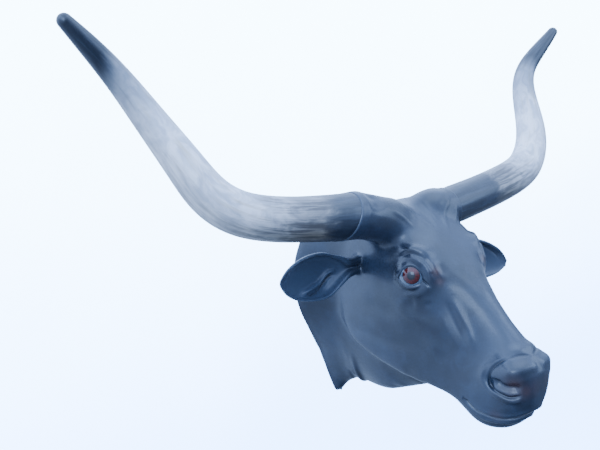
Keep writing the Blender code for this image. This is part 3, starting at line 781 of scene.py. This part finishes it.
# ---- skin: the ears ----
def ear_section(half_width, cup, thickness):
    """A thick cupped line as (up, back) pairs, with round rims, once round."""
    angles = np.linspace(-pi / 2, pi / 2, EAR_ARC + 1)
    width = half_width - thickness / 2
    depth = cup - thickness / 2
    line = np.stack((width * np.sin(angles), depth * np.cos(angles)), axis=1)
    run = np.gradient(line, axis=0)
    run /= np.linalg.norm(run, axis=1)[:, None]
    across = np.stack((run[:, 1], -run[:, 0]), axis=1) * thickness / 2
    turn = np.linspace(0, pi, EAR_RIM + 1)[1:-1, None]
    high = line[-1] - across[-1] * np.cos(turn) + run[-1] * thickness / 2 * np.sin(turn)
    low = line[0] + across[0] * np.cos(turn) - run[0] * thickness / 2 * np.sin(turn)
    return np.concatenate((line - across, high, (line + across)[::-1], low))


def ear_frame(side):
    """An ear's start, its directions outward, backward and upward, and its length."""
    base = Vector((side * EAR_BASE.x, EAR_BASE.y, EAR_BASE.z))
    course = EAR_TIPS[side] - base
    outward = course.normalized()
    back = (Vector((0, 1, 0)) - outward * outward.y).normalized()
    up = Vector((0, 0, 1))
    up = (up - outward * up.dot(outward) - back * up.dot(back)).normalized()
    return base, outward, back, up, course.length


def ear_form(side):
    """A cupped leaf, open to the front, whose stalk starts inside the head."""
    base, outward, back, up, length = ear_frame(side)
    rings = []
    for share, half_width, rise, cup, thickness in smooth_path(EAR_STATIONS, EAR_ROWS):
        centre = base + outward * (length * float(share)) + up * float(rise)
        section = ear_section(half_width, cup, thickness)
        rings.append([centre + up * float(u) + back * float(b) for u, b in section])
    return loft(rings, "ear_form")


# ---- skin: eyes, collars, ears and back ----
def eye_places(points, side):
    """Places near an eye, in its own frame, with the indices of their points."""
    offset = points - np.array(eye_centre(side))
    chosen = np.flatnonzero(np.linalg.norm(offset, axis=1) < EYE_REACH)
    axes = np.array([head_vector(*axis, side) for axis in (FISSURE_AXIS, LID_AXIS, OPENING_AXIS)])
    return offset[chosen] @ axes.T, chosen


def within(places, outline):
    """Which flat places lie inside a closed outline."""
    inside = np.zeros(len(places), bool)
    for (x0, y0), (x1, y1) in zip(outline, np.roll(outline, -1, axis=0)):
        if y0 == y1:
            continue
        spans = (places[:, 1] > y0) != (places[:, 1] > y1)
        cross = x0 + (places[:, 1] - y0) * (x1 - x0) / (y1 - y0)
        inside ^= spans & (places[:, 0] < cross)
    return inside


def unrolled(flat, angle):
    """Flat places seen along an axis, set out at their distance along a ball of LID_RADIUS."""
    reach = np.maximum(np.linalg.norm(flat, axis=1), 1e-9)
    return flat * (LID_RADIUS * angle / reach)[:, None]


def eye_outline():
    closed = EYE_OPENING[-1:] + EYE_OPENING + EYE_OPENING[:2]
    path = smooth_path(np.array(closed) / 1000, PATH_STEPS)[PATH_STEPS:-PATH_STEPS]
    return unrolled(path, np.arcsin(np.linalg.norm(path, axis=1) / LID_RADIUS))


def shape_lids(mesh, side):
    """Sets the skin round an eye at the distances from its centre that LID_PROFILE gives."""
    points = points_of(mesh)
    places, chosen = eye_places(points, side)
    front = places[:, 2] > 0.0
    places, chosen = places[front], chosen[front]
    radius = np.linalg.norm(places, axis=1)
    seen = unrolled(places[:, :2], np.arccos(np.clip(places[:, 2] / radius, -1.0, 1.0)))
    outline = eye_outline()
    away, _ = near_path(seen, outline, EYE_REACH)
    away[within(seen, outline[:-1])] *= -1
    marks, distances, holds = np.array(LID_PROFILE).T
    wanted = np.interp(away * 1000, marks, distances) / 1000
    hold = np.interp(away * 1000, marks, holds) * (1.0 - smooth_step(radius, *LID_LIMITS))
    scale = 1.0 + hold * (wanted / radius - 1.0)
    centre = np.array(eye_centre(side))
    points[chosen] = centre + (points[chosen] - centre) * scale[:, None]
    set_points(mesh, points)


def sculpt_eye(mesh, side):
    points = points_of(mesh)
    places, chosen = eye_places(points, side)
    rises = raised(places[:, :2], EYE_STROKES, lambda path: smooth_path(np.array(path) / 1000, PATH_STEPS))
    rises *= smooth_step(places[:, 2], *FOLDS_FADE)
    points[chosen] += normals_of(mesh)[chosen] * rises[:, None]
    set_points(mesh, points)


def calm_eye(mesh, side):
    """Softens the folds round an eye, and leaves the lids crisp."""
    points = points_of(mesh)
    reach = np.linalg.norm(points - np.array(eye_centre(side)), axis=1)
    share = smooth_step(reach, *EYE_CALM) * (reach < EYE_REACH)
    points += (relax(points, edges_of(mesh), CALM_ROUNDS) - points) * share[:, None]
    set_points(mesh, points)


def shape_collar(mesh, side):
    """Rolls the skin's end round a horn's root, and sinks what is beyond it into the horn."""
    points = points_of(mesh)
    root = HORN_ROOTS[side]
    radius = ROOT_RADIUS[side]
    rise = points[:, 2] - root.z
    past = points[:, 0] * side - (root.x - ROOT_LEAN[side] * rise)
    spread = np.hypot(points[:, 1] - root.y, rise)
    near = (past > COLLAR_START) & (past < COLLAR_END)
    near &= (spread > radius * COLLAR_CORE) & (spread < radius + COLLAR_ROUND)
    chosen = np.flatnonzero(near)
    past, spread = past[chosen], spread[chosen]
    roll = np.clip((past + COLLAR_ROLL) / COLLAR_ROLL, 0.0, 1.0)
    wanted = radius - STUB_SINK + (COLLAR_RISE + STUB_SINK) * np.sqrt(1.0 - roll**2)
    hold = smooth_step(past, COLLAR_START, COLLAR_FULL)
    scale = 1.0 + hold * (wanted / spread - 1.0)
    points[chosen, 1] = root.y + (points[chosen, 1] - root.y) * scale
    points[chosen, 2] = root.z + (points[chosen, 2] - root.z) * scale
    set_points(mesh, points)


def sculpt_ear(mesh, side):
    points = points_of(mesh)
    base, outward, back, up, length = ear_frame(side)
    offset = points - np.array(base)
    share = offset @ np.array(outward) / length
    behind = offset @ np.array(back)
    in_front = (behind < EAR_FRONT) & (normals_of(mesh) @ np.array(back) < EAR_FACING)
    chosen = np.flatnonzero((share > EAR_START[0]) & (share < EAR_END) & in_front)
    places = np.stack((share[chosen] * length, offset[chosen] @ np.array(up)), axis=1)
    scale = (length, 0.001)
    rises = raised(places, EAR_STROKES, lambda path: smooth_path(np.array(path) * scale, PATH_STEPS))
    rises *= smooth_step(share[chosen], *EAR_START)
    points[chosen] += normals_of(mesh)[chosen] * rises[:, None]
    set_points(mesh, points)


def hold_inside(mesh):
    """Eases what would stand out in front of the solids' box, or below it, back into it."""
    points = points_of(mesh)
    limit = cad_box[0][1] + BOX_MARGIN
    past = limit + BOX_EASE - points[:, 1]
    front = past > 0.0
    points[front, 1] = limit + BOX_EASE * np.exp(-past[front] / BOX_EASE)
    points[:, 2] = np.maximum(points[:, 2], cad_box[0][2] + BOX_MARGIN)
    set_points(mesh, points)


def close_back(bm):
    """Cuts the skin at the wall, and closes it round the pocket of the back panel."""
    everything = bm.verts[:] + bm.edges[:] + bm.faces[:]
    bmesh.ops.bisect_plane(bm, geom=everything, plane_co=(0, 0, 0), plane_no=(0, 1, 0), clear_outer=True)
    rim = [edge for edge in bm.edges if edge.is_boundary]
    pocket, _ = wall_rims()
    count = len(pocket)
    mouth = [bm.verts.new(point) for point in pocket]
    floor = [bm.verts.new(point - Vector((0.0, PANEL_POCKET, 0.0))) for point in pocket]
    edge_loop = [bm.edges.new((mouth[i], mouth[(i + 1) % count])) for i in range(count)]
    made = bmesh.ops.triangle_fill(bm, edges=rim + edge_loop, use_beauty=True, normal=(0, 1, 0))
    flat = [item for item in made["geom"] if isinstance(item, bmesh.types.BMFace)]
    for i in range(count):
        j = (i + 1) % count
        flat.append(bm.faces.new((mouth[i], mouth[j], floor[j], floor[i])))
    flat.append(bm.faces.new(floor))
    for face in flat:
        face.smooth = False
        for edge in face.edges:
            edge.smooth = False


def refine(bm):
    """Halves the grid where the finest strokes go."""
    spots = []
    for side in SIDES.values():
        for along, out, height, reach in FINE_SPOTS:
            spots.append((head_point(along, side * out, height), reach))
    edges = set()
    for face in bm.faces:
        middle = face.verts[0].co
        if any((middle - place).length < reach for place, reach in spots):
            edges.update(face.edges)
    bmesh.ops.subdivide_edges(bm, edges=list(edges), cuts=1, use_grid_fill=True, smooth=0.0)


def keep_relief(mesh):
    """Keeps how deep each point lies in what is round it, in mm, finely and broadly, for the paint's painted
    shade, and where ears are.
    """
    points = points_of(mesh)
    edges = edges_of(mesh)
    normals = normals_of(mesh)
    fine = relax(points, edges, RELIEF_ROUNDS[0])
    broad = relax(fine, edges, RELIEF_ROUNDS[1])
    fine_depth, broad_depth = (((drawn - points) * normals).sum(axis=1) * 1000 for drawn in (fine, broad))
    outside = smooth_step(np.abs(points[:, 0]), *EAR_ZONE)
    broad_depth *= 1.0 - EAR_CLEAR * outside
    ears = outside * (points[:, 2] < EAR_TOP)
    keep_attribute(mesh, "relief", np.stack((fine_depth, broad_depth, ears), axis=1))


def keep_flush(mesh):
    """Keeps where the paint is rubbed over with red-brown, from 0 to 1."""
    places = head_places(points_of(mesh)) * 1000
    amount = np.zeros(len(places))
    for *centre, radius, strength in FLUSHES:
        away = np.linalg.norm(places - np.array(centre), axis=1) / radius
        amount = np.maximum(amount, strength * np.exp(-(away**2)))
    layer = mesh.attributes.new("flush", "FLOAT", "POINT")
    layer.data.foreach_set("value", amount.astype(np.float32))


def build_skin():
    body = clay()
    forms = [body] + [ear_form(side) for side in SIDES.values()]
    skin = remeshed(joined(forms), SKIN_GRAIN)
    set_points(skin, relax(points_of(skin), edges_of(skin), SKIN_ROUNDS))
    bm = bmesh.new()
    bm.from_mesh(skin)
    refine(bm)
    fine = mesh_from(bm, "fine_skin")
    for side in SIDES.values():
        calm(fine, (side * EAR_ROOT[0], EAR_ROOT[1], EAR_ROOT[2]), EAR_ROOT_REACH, EAR_ROOT_ROUNDS)
    set_points(fine, relax(points_of(fine), edges_of(fine), FINE_ROUNDS))
    sculpt(fine, LINES)
    for side in SIDES.values():
        sculpt_eye(fine, side)
        shape_lids(fine, side)
        calm_eye(fine, side)
        shape_collar(fine, side)
        sculpt_ear(fine, side)
    hold_inside(fine)
    shade_smooth(fine)
    bm = bmesh.new()
    bm.from_mesh(fine)
    close_back(bm)
    made = mesh_from(bm, "skin")
    keep_relief(made)
    keep_flush(made)
    thing = add_object("skin", made)
    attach(thing, "root")
    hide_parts(*FLESH_NODES, "ear_right", "ear_left")
    return thing


# ---- horns ----
def horn_course(side):
    """Points and radii on a clamped cubic B-spline from the root over HORN_COURSE."""
    root = Vector((*HORN_ROOTS[side], ROOT_RADIUS[side]))
    controls = [root] + [Vector(row) for row in HORN_COURSE]
    count = len(controls)
    inner = count - 3
    knots = [0.0] * 3 + [i / inner for i in range(inner + 1)] + [1.0] * 3
    course = []
    for step in range(HORN_LENGTHS + 1):
        t = min(step / HORN_LENGTHS, 1.0 - 1e-9)
        span = max(i for i in range(3, count) if knots[i] <= t)
        row = [controls[span - 3 + k].copy() for k in range(4)]
        for depth in range(1, 4):
            for k in range(3, depth - 1, -1):
                low = knots[span - 3 + k]
                share = (t - low) / (knots[span + 1 + k - depth] - low)
                row[k] = row[k - 1].lerp(row[k], share)
        course.append(row[3])
    return course


def burr(past):
    """Rise of the rings round a horn's root, this far out along it."""
    return sum(rise * exp(-(((past - place) / width) ** 2)) for place, width, rise in BURRS)


def rounded_course(side):
    """The horn's course, from its seat inside the head to a round tip."""
    course = horn_course(side)
    seat = course[0] - Vector((HORN_SEAT, 0.0, 0.0, 0.0))
    tip = course[-1]
    run = (tip.xyz - course[-2].xyz).normalized()
    tip = Vector((*(tip.xyz - run * HORN_TIP_DRAW), tip.w))
    course = [point for point in course if (point.xyz - tip.xyz).length > tip.w]
    last = course[-1]
    for angle in TIP_ANGLES:
        place = last.xyz.lerp(tip.xyz, sin(radians(angle)))
        course.append(Vector((*place, last.w * cos(radians(angle)))))
    return [seat] + course


def build_horn(word, side):
    """A fine tube on the horn's course, with its unbent place kept in an attribute."""
    root = HORN_ROOTS[side]
    course = rounded_course(side)
    centres = [point.xyz for point in course]
    rings = []
    unbent = []
    distance = 0.0
    up = Vector((0, 0, 1))
    for i, (centre, point) in enumerate(zip(centres, course)):
        run = (centres[min(i + 1, len(centres) - 1)] - centres[max(i - 1, 0)]).normalized()
        up = (up - run * up.dot(run)).normalized()
        across = run.cross(up)
        if i:
            distance += (centre - centres[i - 1]).length
        past = centre.x - root.x
        ring = []
        for k in range(HORN_SIDES):
            angle = 2 * pi * k / HORN_SIDES
            place = centre + (up * cos(angle) + across * sin(angle)) * (point.w + burr(past))
            fade = max(0.0, 1.0 - max(0.0, place.x - root.x) / LEAN_FADE)
            place.x -= fade * ROOT_LEAN[side] * (place.z - root.z)
            ring.append(Vector((side * place.x, place.y, place.z)))
            unbent.append((distance, point.w * cos(angle), point.w * sin(angle)))
        rings.append(ring)
    unbent += [(0.0, 0.0, 0.0), (distance, 0.0, 0.0)]
    mesh = loft(rings, f"horn_{word}")
    keep_attribute(mesh, "unbent", unbent)
    shade_smooth(mesh)
    thing = add_object(f"painted_horn_{word}", mesh)
    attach(thing, "root")
    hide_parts(f"horn_{word}")
    return thing


# ---- eyes ----
def gaze_frame(side):
    """The eye's directions across, up and out along its gaze, as rows."""
    gaze = head_vector(*GAZE_AXIS, side)
    gaze /= np.linalg.norm(gaze)
    across = np.cross((0.0, 0.0, 1.0), gaze)
    across /= np.linalg.norm(across)
    return np.array((across, np.cross(gaze, across), gaze))


def build_eye(word, side):
    """A ball with a slight cornea; its attribute "gaze" is each point's direction in the eye's own frame."""
    mesh = ball(Vector(), EYE_RADIUS, EYE_SEGMENTS)
    points = points_of(mesh)
    directions = points @ gaze_frame(side).T / EYE_RADIUS
    off_axis = np.degrees(np.arccos(np.clip(directions[:, 2], -1.0, 1.0)))
    cornea = CORNEA_RISE * (1.0 - smooth_step(off_axis, *CORNEA_FADE))
    set_points(mesh, np.array(eye_centre(side)) + points * (1.0 + cornea / EYE_RADIUS)[:, None])
    keep_attribute(mesh, "gaze", directions)
    shade_smooth(mesh)
    thing = add_object(f"glass_eye_{word}", mesh)
    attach(thing, "root")
    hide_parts(f"eye_{word}")
    return thing


# ---- materials ----
class Nodes:
    """A node tree, with short ways to make the nodes used here."""

    def __init__(self, tree):
        self.tree = tree

    def node(self, kind, *values, **settings):
        """A new node with these settings, whose first sockets take these values in order."""
        made = self.tree.nodes.new("ShaderNode" + kind)
        for name, value in settings.items():
            setattr(made, name, value)
        for socket, value in zip(made.inputs, values):
            self.feed(socket, value)
        return made

    def feed(self, socket, value):
        """Links an output to a socket, or sets the socket to a plain value."""
        if isinstance(value, bpy.types.NodeSocket):
            self.tree.links.new(value, socket)
        else:
            socket.default_value = value

    def split(self, vector):
        return self.node("SeparateXYZ", vector).outputs

    def math(self, operation, a, b=0.0, clamp=False):
        return self.node("Math", a, b, operation=operation, use_clamp=clamp).outputs[0]

    def plus(self, a, b):
        return self.math("ADD", a, b)

    def times(self, a, b):
        return self.math("MULTIPLY", a, b)

    def between(self, value, low, high, to_low=0.0, to_high=1.0):
        """The value's smooth share of the way from low to high."""
        made = self.node("MapRange", value, low, high, to_low, to_high, interpolation_type="SMOOTHSTEP")
        return made.outputs[0]


class Paint(Nodes):
    """A material."""

    def __init__(self, name):
        self.material = bpy.data.materials.new(name)
        self.material.use_nodes = True
        super().__init__(self.material.node_tree)
        self.shader = self.tree.nodes["Principled BSDF"]

    def finish(self, **values):
        """Feeds the shader's sockets, named with _ for each space."""
        for name, value in values.items():
            self.feed(self.shader.inputs[name.replace("_", " ")], value)
        return self.material

    def place(self):
        return self.node("TexCoord").outputs["Object"]

    def attribute(self, name):
        return self.node("Attribute", attribute_name=name)

    def stretched(self, vector, scale):
        made = self.node("Mapping", vector)
        made.inputs["Scale"].default_value = scale
        return made.outputs["Vector"]

    def noise(self, vector, scale, detail=3.0, roughness=0.5, distortion=0.0):
        made = self.node("TexNoise", vector)
        values = {"Scale": scale, "Detail": detail, "Roughness": roughness, "Distortion": distortion}
        for name, value in values.items():
            made.inputs[name].default_value = value
        return made.outputs["Fac"]

    def blend(self, share, a, b):
        made = self.node("Mix", share, data_type="RGBA")
        for socket, colour in zip((made.inputs[6], made.inputs[7]), (a, b)):
            self.feed(socket, (*colour, 1.0) if isinstance(colour, tuple) else colour)
        return made.outputs[2]

    def coats(self, colour, *coats):
        """A colour under coats of other colours, each given as (share, colour), the last one on top."""
        for share, coat in coats:
            colour = self.blend(share, colour, coat)
        return colour

    def bumps(self, *layers):
        """Bump nodes in a row, each from (height, strength, distance)."""
        normal = None
        for height, strength, distance in layers:
            made = self.node("Bump", strength, distance)
            self.feed(made.inputs["Height"], height)
            if normal is not None:
                self.feed(made.inputs["Normal"], normal)
            normal = made.outputs["Normal"]
        return normal


def skin_paint():
    """Satin slate paint: clouded by hand, with painted shade in the folds, painted highlights on the ridges
    and the ears painted paler as painted light.
    """
    paint = Paint("skin_paint")
    place = paint.place()
    fine, broad, ears = paint.split(paint.attribute("relief").outputs["Vector"])
    cloud = paint.noise(place, 6.0, 4.0, 0.6)
    blotch = paint.noise(place, 34.0, 5.0, 0.62, 0.6)
    grain = paint.noise(place, 420.0, 3.0, 0.6)
    strokes = paint.noise(paint.stretched(place, (60.0, 22.0, 60.0)), 4.0, 4.0, 0.65, 0.8)
    # Painted shade: the paint darkens where the skin lies deep among its neighbours, finely and broadly.
    hollow = paint.plus(paint.between(fine, 0.04, 0.9, 0.0, 0.7), paint.between(broad, 0.3, 3.5, 0.0, 0.4))
    hollow = paint.plus(hollow, paint.between(broad, 3.0, 7.0, 0.0, 0.6))
    # Painted highlight: the paint is paler where the skin stands out from its neighbours, in streaks.
    ridge = paint.times(paint.between(fine, -0.05, -0.7), paint.between(strokes, 0.35, 0.65, 0.4, 1.0))
    rubbed = paint.between(blotch, 0.25, 0.65, 0.45, 1.0)
    flush = paint.math("MULTIPLY", paint.attribute("flush").outputs["Fac"], rubbed, clamp=True)
    colour = paint.coats(
        SLATE_DEEP,
        (paint.between(cloud, 0.35, 0.68), SLATE_PALE),
        (paint.between(blotch, 0.50, 0.80, 0.0, 0.45), SLATE_COOL),
        # Painted light: the ears are painted paler slate.
        (paint.times(ears, 0.85), SLATE_EAR_PAINTED_LIGHT),
        # Painted shade in the folds and hollows.
        (paint.math("MINIMUM", hollow, 0.95), SLATE_DARK),
        # Painted highlight on the ridges.
        (paint.times(ridge, 0.6), SLATE_HIGHLIGHT_AND_SMOKE),
        (flush, RED_BROWN),
    )
    rough = paint.plus(paint.between(strokes, 0.3, 0.7, 0.30, 0.40), paint.times(hollow, 0.16))
    normal = paint.bumps((strokes, 0.10, 0.0012), (blotch, 0.12, 0.0020), (grain, 0.10, 0.0003))
    return paint.finish(
        Base_Color=colour, Roughness=rough, Normal=normal, Coat_Weight=0.25, Coat_Roughness=0.18
    )


def horn_paint(name, base_end, mottle_end, tip_start):
    """Satin horn colours: slate at the root and tip, and a streaked, mottled cream and grey between, warmer
    and darker on the underside as painted shade.
    """
    paint = Paint(name)
    unbent = paint.attribute("unbent").outputs["Vector"]
    along, up, across = paint.split(unbent)
    streaks = paint.noise(paint.stretched(unbent, (5.0, 70.0, 70.0)), 1.6, 5.0, 0.62, 0.4)
    fibres = paint.noise(paint.stretched(unbent, (9.0, 320.0, 320.0)), 1.5, 4.0, 0.7)
    clouds = paint.noise(paint.stretched(unbent, (14.0, 26.0, 26.0)), 1.3, 4.0, 0.6, 0.8)
    rings = paint.noise(paint.stretched(unbent, (110.0, 6.0, 6.0)), 1.0, 4.0, 0.6, 0.3)
    # Painted shade: the horn's underside is painted warmer and darker.
    under = paint.between(up, 0.015, -0.035)
    warm = paint.blend(paint.between(streaks, 0.35, 0.65), HORN_CREAM, HORN_BEIGE)
    shifted = paint.plus(along, paint.times(paint.math("SUBTRACT", clouds, 0.5), 0.10))
    mottle = paint.between(shifted, base_end + 0.04, mottle_end + 0.05, 1.0, 0.0)
    # The underside takes more of the dark base: painted shade.
    veil = paint.times(mottle, paint.plus(paint.times(under, 0.20), 0.76))
    base = paint.blend(paint.between(streaks, 0.38, 0.66), HORN_BEIGE, HORN_BROWN)
    patches = paint.between(paint.plus(streaks, paint.times(mottle, 0.14)), 0.56, 0.74)
    dark_place = paint.plus(shifted, paint.times(streaks, 0.05))
    dark = paint.between(dark_place, base_end, base_end + 0.065, 1.0, 0.0)
    side_shift = paint.times(paint.plus(up, across), -0.9)
    tip_place = paint.plus(paint.plus(along, side_shift), paint.times(streaks, 0.05))
    tip = paint.between(tip_place, tip_start, tip_start + 0.080)
    slate = paint.blend(paint.between(streaks, 0.45, 0.80, 0.0, 0.6), SLATE_DEEP, SLATE_HIGHLIGHT_AND_SMOKE)
    colour = paint.coats(
        HORN_GREY,
        (paint.between(clouds, 0.35, 0.66), HORN_PALE),
        (paint.between(streaks, 0.48, 0.72, 0.0, 0.65), HORN_CREAM),
        (paint.between(fibres, 0.55, 0.80, 0.0, 0.35), HORN_BROWN),
        # Painted shade on the underside.
        (paint.times(under, 0.45), warm),
        (veil, base),
        (paint.times(patches, paint.times(mottle, 0.8)), HORN_BROWN),
        (paint.between(along, tip_start - SMOKE_REACH, tip_start + 0.02, 0.0, 0.65), SLATE_HIGHLIGHT_AND_SMOKE),
        (paint.math("MAXIMUM", dark, tip), slate),
    )
    rough = paint.between(fibres, 0.3, 0.7, 0.30, 0.42)
    near_root = paint.between(along, 0.05, 0.40, 1.0, 0.25)
    ring_height = paint.times(rings, near_root)
    normal = paint.bumps((ring_height, 0.30, 0.0020), (streaks, 0.15, 0.0015), (fibres, 0.20, 0.0006))
    return paint.finish(
        Base_Color=colour, Roughness=rough, Normal=normal, Coat_Weight=0.25, Coat_Roughness=0.20
    )


def eye_glass(name):
    """A polished eye: black pupil, red-brown iris with fibres, dark rim, and a pale blue-grey white."""
    paint = Paint(name)
    gaze = paint.attribute("gaze").outputs["Vector"]
    across, up, out = paint.split(gaze)
    off_axis = paint.times(paint.math("ARCCOSINE", out), 180 / pi)
    angle = paint.math("ARCTAN2", up, across)
    round_x = paint.times(paint.math("COSINE", angle), 9.0)
    round_y = paint.times(paint.math("SINE", angle), 9.0)
    wheel = paint.node("CombineXYZ", round_x, round_y, paint.times(off_axis, 0.035))
    fibres = paint.noise(wheel.outputs[0], 1.6, 4.0, 0.65)
    veins = paint.noise(gaze, 9.0, 5.0, 0.7, 1.2)
    white = paint.blend(paint.between(veins, 0.45, 0.75, 0.0, 0.7), EYE_WHITE, EYE_WHITE_DULL)
    colour = paint.coats(
        IRIS_DEEP,
        (paint.between(fibres, 0.35, 0.68), IRIS_BRIGHT),
        (paint.between(off_axis, PUPIL_ANGLE + 6.0, PUPIL_ANGLE, 0.0, 0.8), IRIS_DEEP),
        (paint.between(off_axis, IRIS_ANGLE - 5.0, IRIS_ANGLE - 1.0, 0.0, 0.85), EYE_DARK),
        (paint.between(off_axis, PUPIL_ANGLE + 1.5, PUPIL_ANGLE - 1.5), EYE_DARK),
        (paint.between(off_axis, IRIS_ANGLE - 0.5, IRIS_ANGLE + 3.0), white),
    )
    rough = paint.between(veins, 0.3, 0.7, 0.06, 0.10)
    return paint.finish(Base_Color=colour, Roughness=rough, Coat_Weight=0.3, Coat_Roughness=0.04)


def panel_wood(name):
    """Unpainted board: long grain, pores and a few darker bands."""
    paint = Paint(name)
    place = paint.place()
    bands = paint.noise(paint.stretched(place, (26.0, 26.0, 2.2)), 1.2, 5.0, 0.6, 1.4)
    pores = paint.noise(paint.stretched(place, (700.0, 700.0, 26.0)), 1.0, 3.0, 0.6)
    colour = paint.coats(
        WOOD_PALE,
        (paint.between(bands, 0.35, 0.68), WOOD_DARK),
        (paint.between(pores, 0.55, 0.75, 0.0, 0.5), WOOD_PORE),
    )
    rough = paint.between(pores, 0.3, 0.7, 0.62, 0.78)
    normal = paint.bumps((bands, 0.2, 0.0010), (pores, 0.4, 0.0003))
    return paint.finish(Base_Color=colour, Roughness=rough, Normal=normal)


# ---- stage, light and camera ----
def stage_paint(name, colours, glow, glow_colours):
    """A pale, faintly uneven surface that shows from its front only, so that it hides nothing from behind. It
    glows, and on the wall the glow is painted light that grows dimmer and bluer towards the bottom.
    """
    paint = Paint(name)
    cloud = paint.noise(paint.place(), 1.4, 3.0, 0.5)
    geometry = paint.node("NewGeometry").outputs
    # On the wall the glow is painted light, dimmer and bluer low down.
    rise = paint.plus(paint.split(geometry["Position"])[2], paint.times(cloud, 0.4))
    paint.finish(
        Base_Color=paint.blend(paint.between(cloud, 0.3, 0.7), *colours),
        Roughness=0.85,
        Emission_Color=paint.blend(paint.between(rise, *GLOW_RISE), *glow_colours),
        Emission_Strength=glow,
    )
    clear = paint.node("BsdfTransparent").outputs["BSDF"]
    mix = paint.node("MixShader", geometry["Backfacing"], paint.shader.outputs["BSDF"], clear)
    paint.feed(paint.tree.nodes["Material Output"].inputs["Surface"], mix.outputs["Shader"])
    return paint.material


def stage_plane(name, size, place, turn, paint):
    """A plain backdrop, which the part neither mirrors nor is lit by: the soft world stands in for that."""
    bm = bmesh.new()
    bmesh.ops.create_grid(bm, x_segments=1, y_segments=1, size=size / 2)
    mesh = bpy.data.meshes.new(name)
    bm.to_mesh(mesh)
    bm.free()
    mesh.materials.append(paint)
    plane = add_object(name, mesh)
    plane.matrix_world = Matrix.Translation(place) @ turn
    plane.visible_diffuse = False
    plane.visible_glossy = False
    plane.visible_shadow = False


def area_light(name, place, size, power):
    light = bpy.data.lights.new(name, "AREA")
    light.size = size
    light.energy = power
    light.color = LIGHT_TINT
    thing = add_object(name, light)
    thing.location = place
    thing.rotation_euler = (LIGHT_TARGET - place).to_track_quat("-Z", "Y").to_euler()


def build_camera():
    data = bpy.data.cameras.new("camera")
    data.lens = CAMERA_LENS
    data.sensor_width = CAMERA_SENSOR
    thing = add_object("camera", data)
    level = cos(CAMERA_PITCH)
    forward = Vector((sin(CAMERA_YAW) * level, cos(CAMERA_YAW) * level, -sin(CAMERA_PITCH)))
    thing.location = CAMERA_PLACE
    thing.rotation_euler = forward.to_track_quat("-Z", "Y").to_euler()
    bpy.context.scene.camera = thing


def build_world():
    """A bright white room: light from above, from the wall behind and from the side, and dark below."""
    world = bpy.data.worlds.new("soft_world")
    bpy.context.scene.world = world
    world.use_nodes = True
    sky = Nodes(world.node_tree)
    parts = sky.split(sky.node("TexCoord").outputs["Generated"])
    total = 0.0
    for axis, start, end, strength in SKY_PARTS:
        total = sky.plus(total, sky.between(parts[axis], start, end, 0.0, strength))
    background = sky.tree.nodes["Background"]
    sky.feed(background.inputs["Strength"], sky.times(total, sky.between(parts["Z"], *SKY_LOW)))
    sky.feed(background.inputs["Color"], (*SKY_COLOUR, 1.0))


def build_stage():
    wall = stage_paint("wall", WALL_COLOURS, WALL_GLOW, (WALL_GLOW_LOW, WALL_GLOW_HIGH))
    stage_plane("wall", WALL_SIZE, WALL_PLACE, Matrix.Rotation(pi / 2, 4, "X"), wall)
    floor = stage_paint("floor", FLOOR_COLOURS, FLOOR_GLOW, (FLOOR_GLOW_COLOUR, FLOOR_GLOW_COLOUR))
    stage_plane("floor", FLOOR_SIZE, FLOOR_PLACE, Matrix.Identity(4), floor)
    build_world()
    for name, direction, distance, size, power in LIGHTS:
        place = LIGHT_TARGET + Vector(direction).normalized() * distance
        area_light(name, place, size, power)


build_camera()
build_stage()
skin = build_skin()
skin.data.materials.append(skin_paint())
for word, side in SIDES.items():
    horn = build_horn(word, side)
    horn.data.materials.append(horn_paint(f"horn_paint_{word}", *HORN_MARKS[side]))
    eye = build_eye(word, side)
    eye.data.materials.append(eye_glass(f"eye_glass_{word}"))
board = nodes["back_panel"].data
board.materials.clear()
board.materials.append(panel_wood("back_board"))
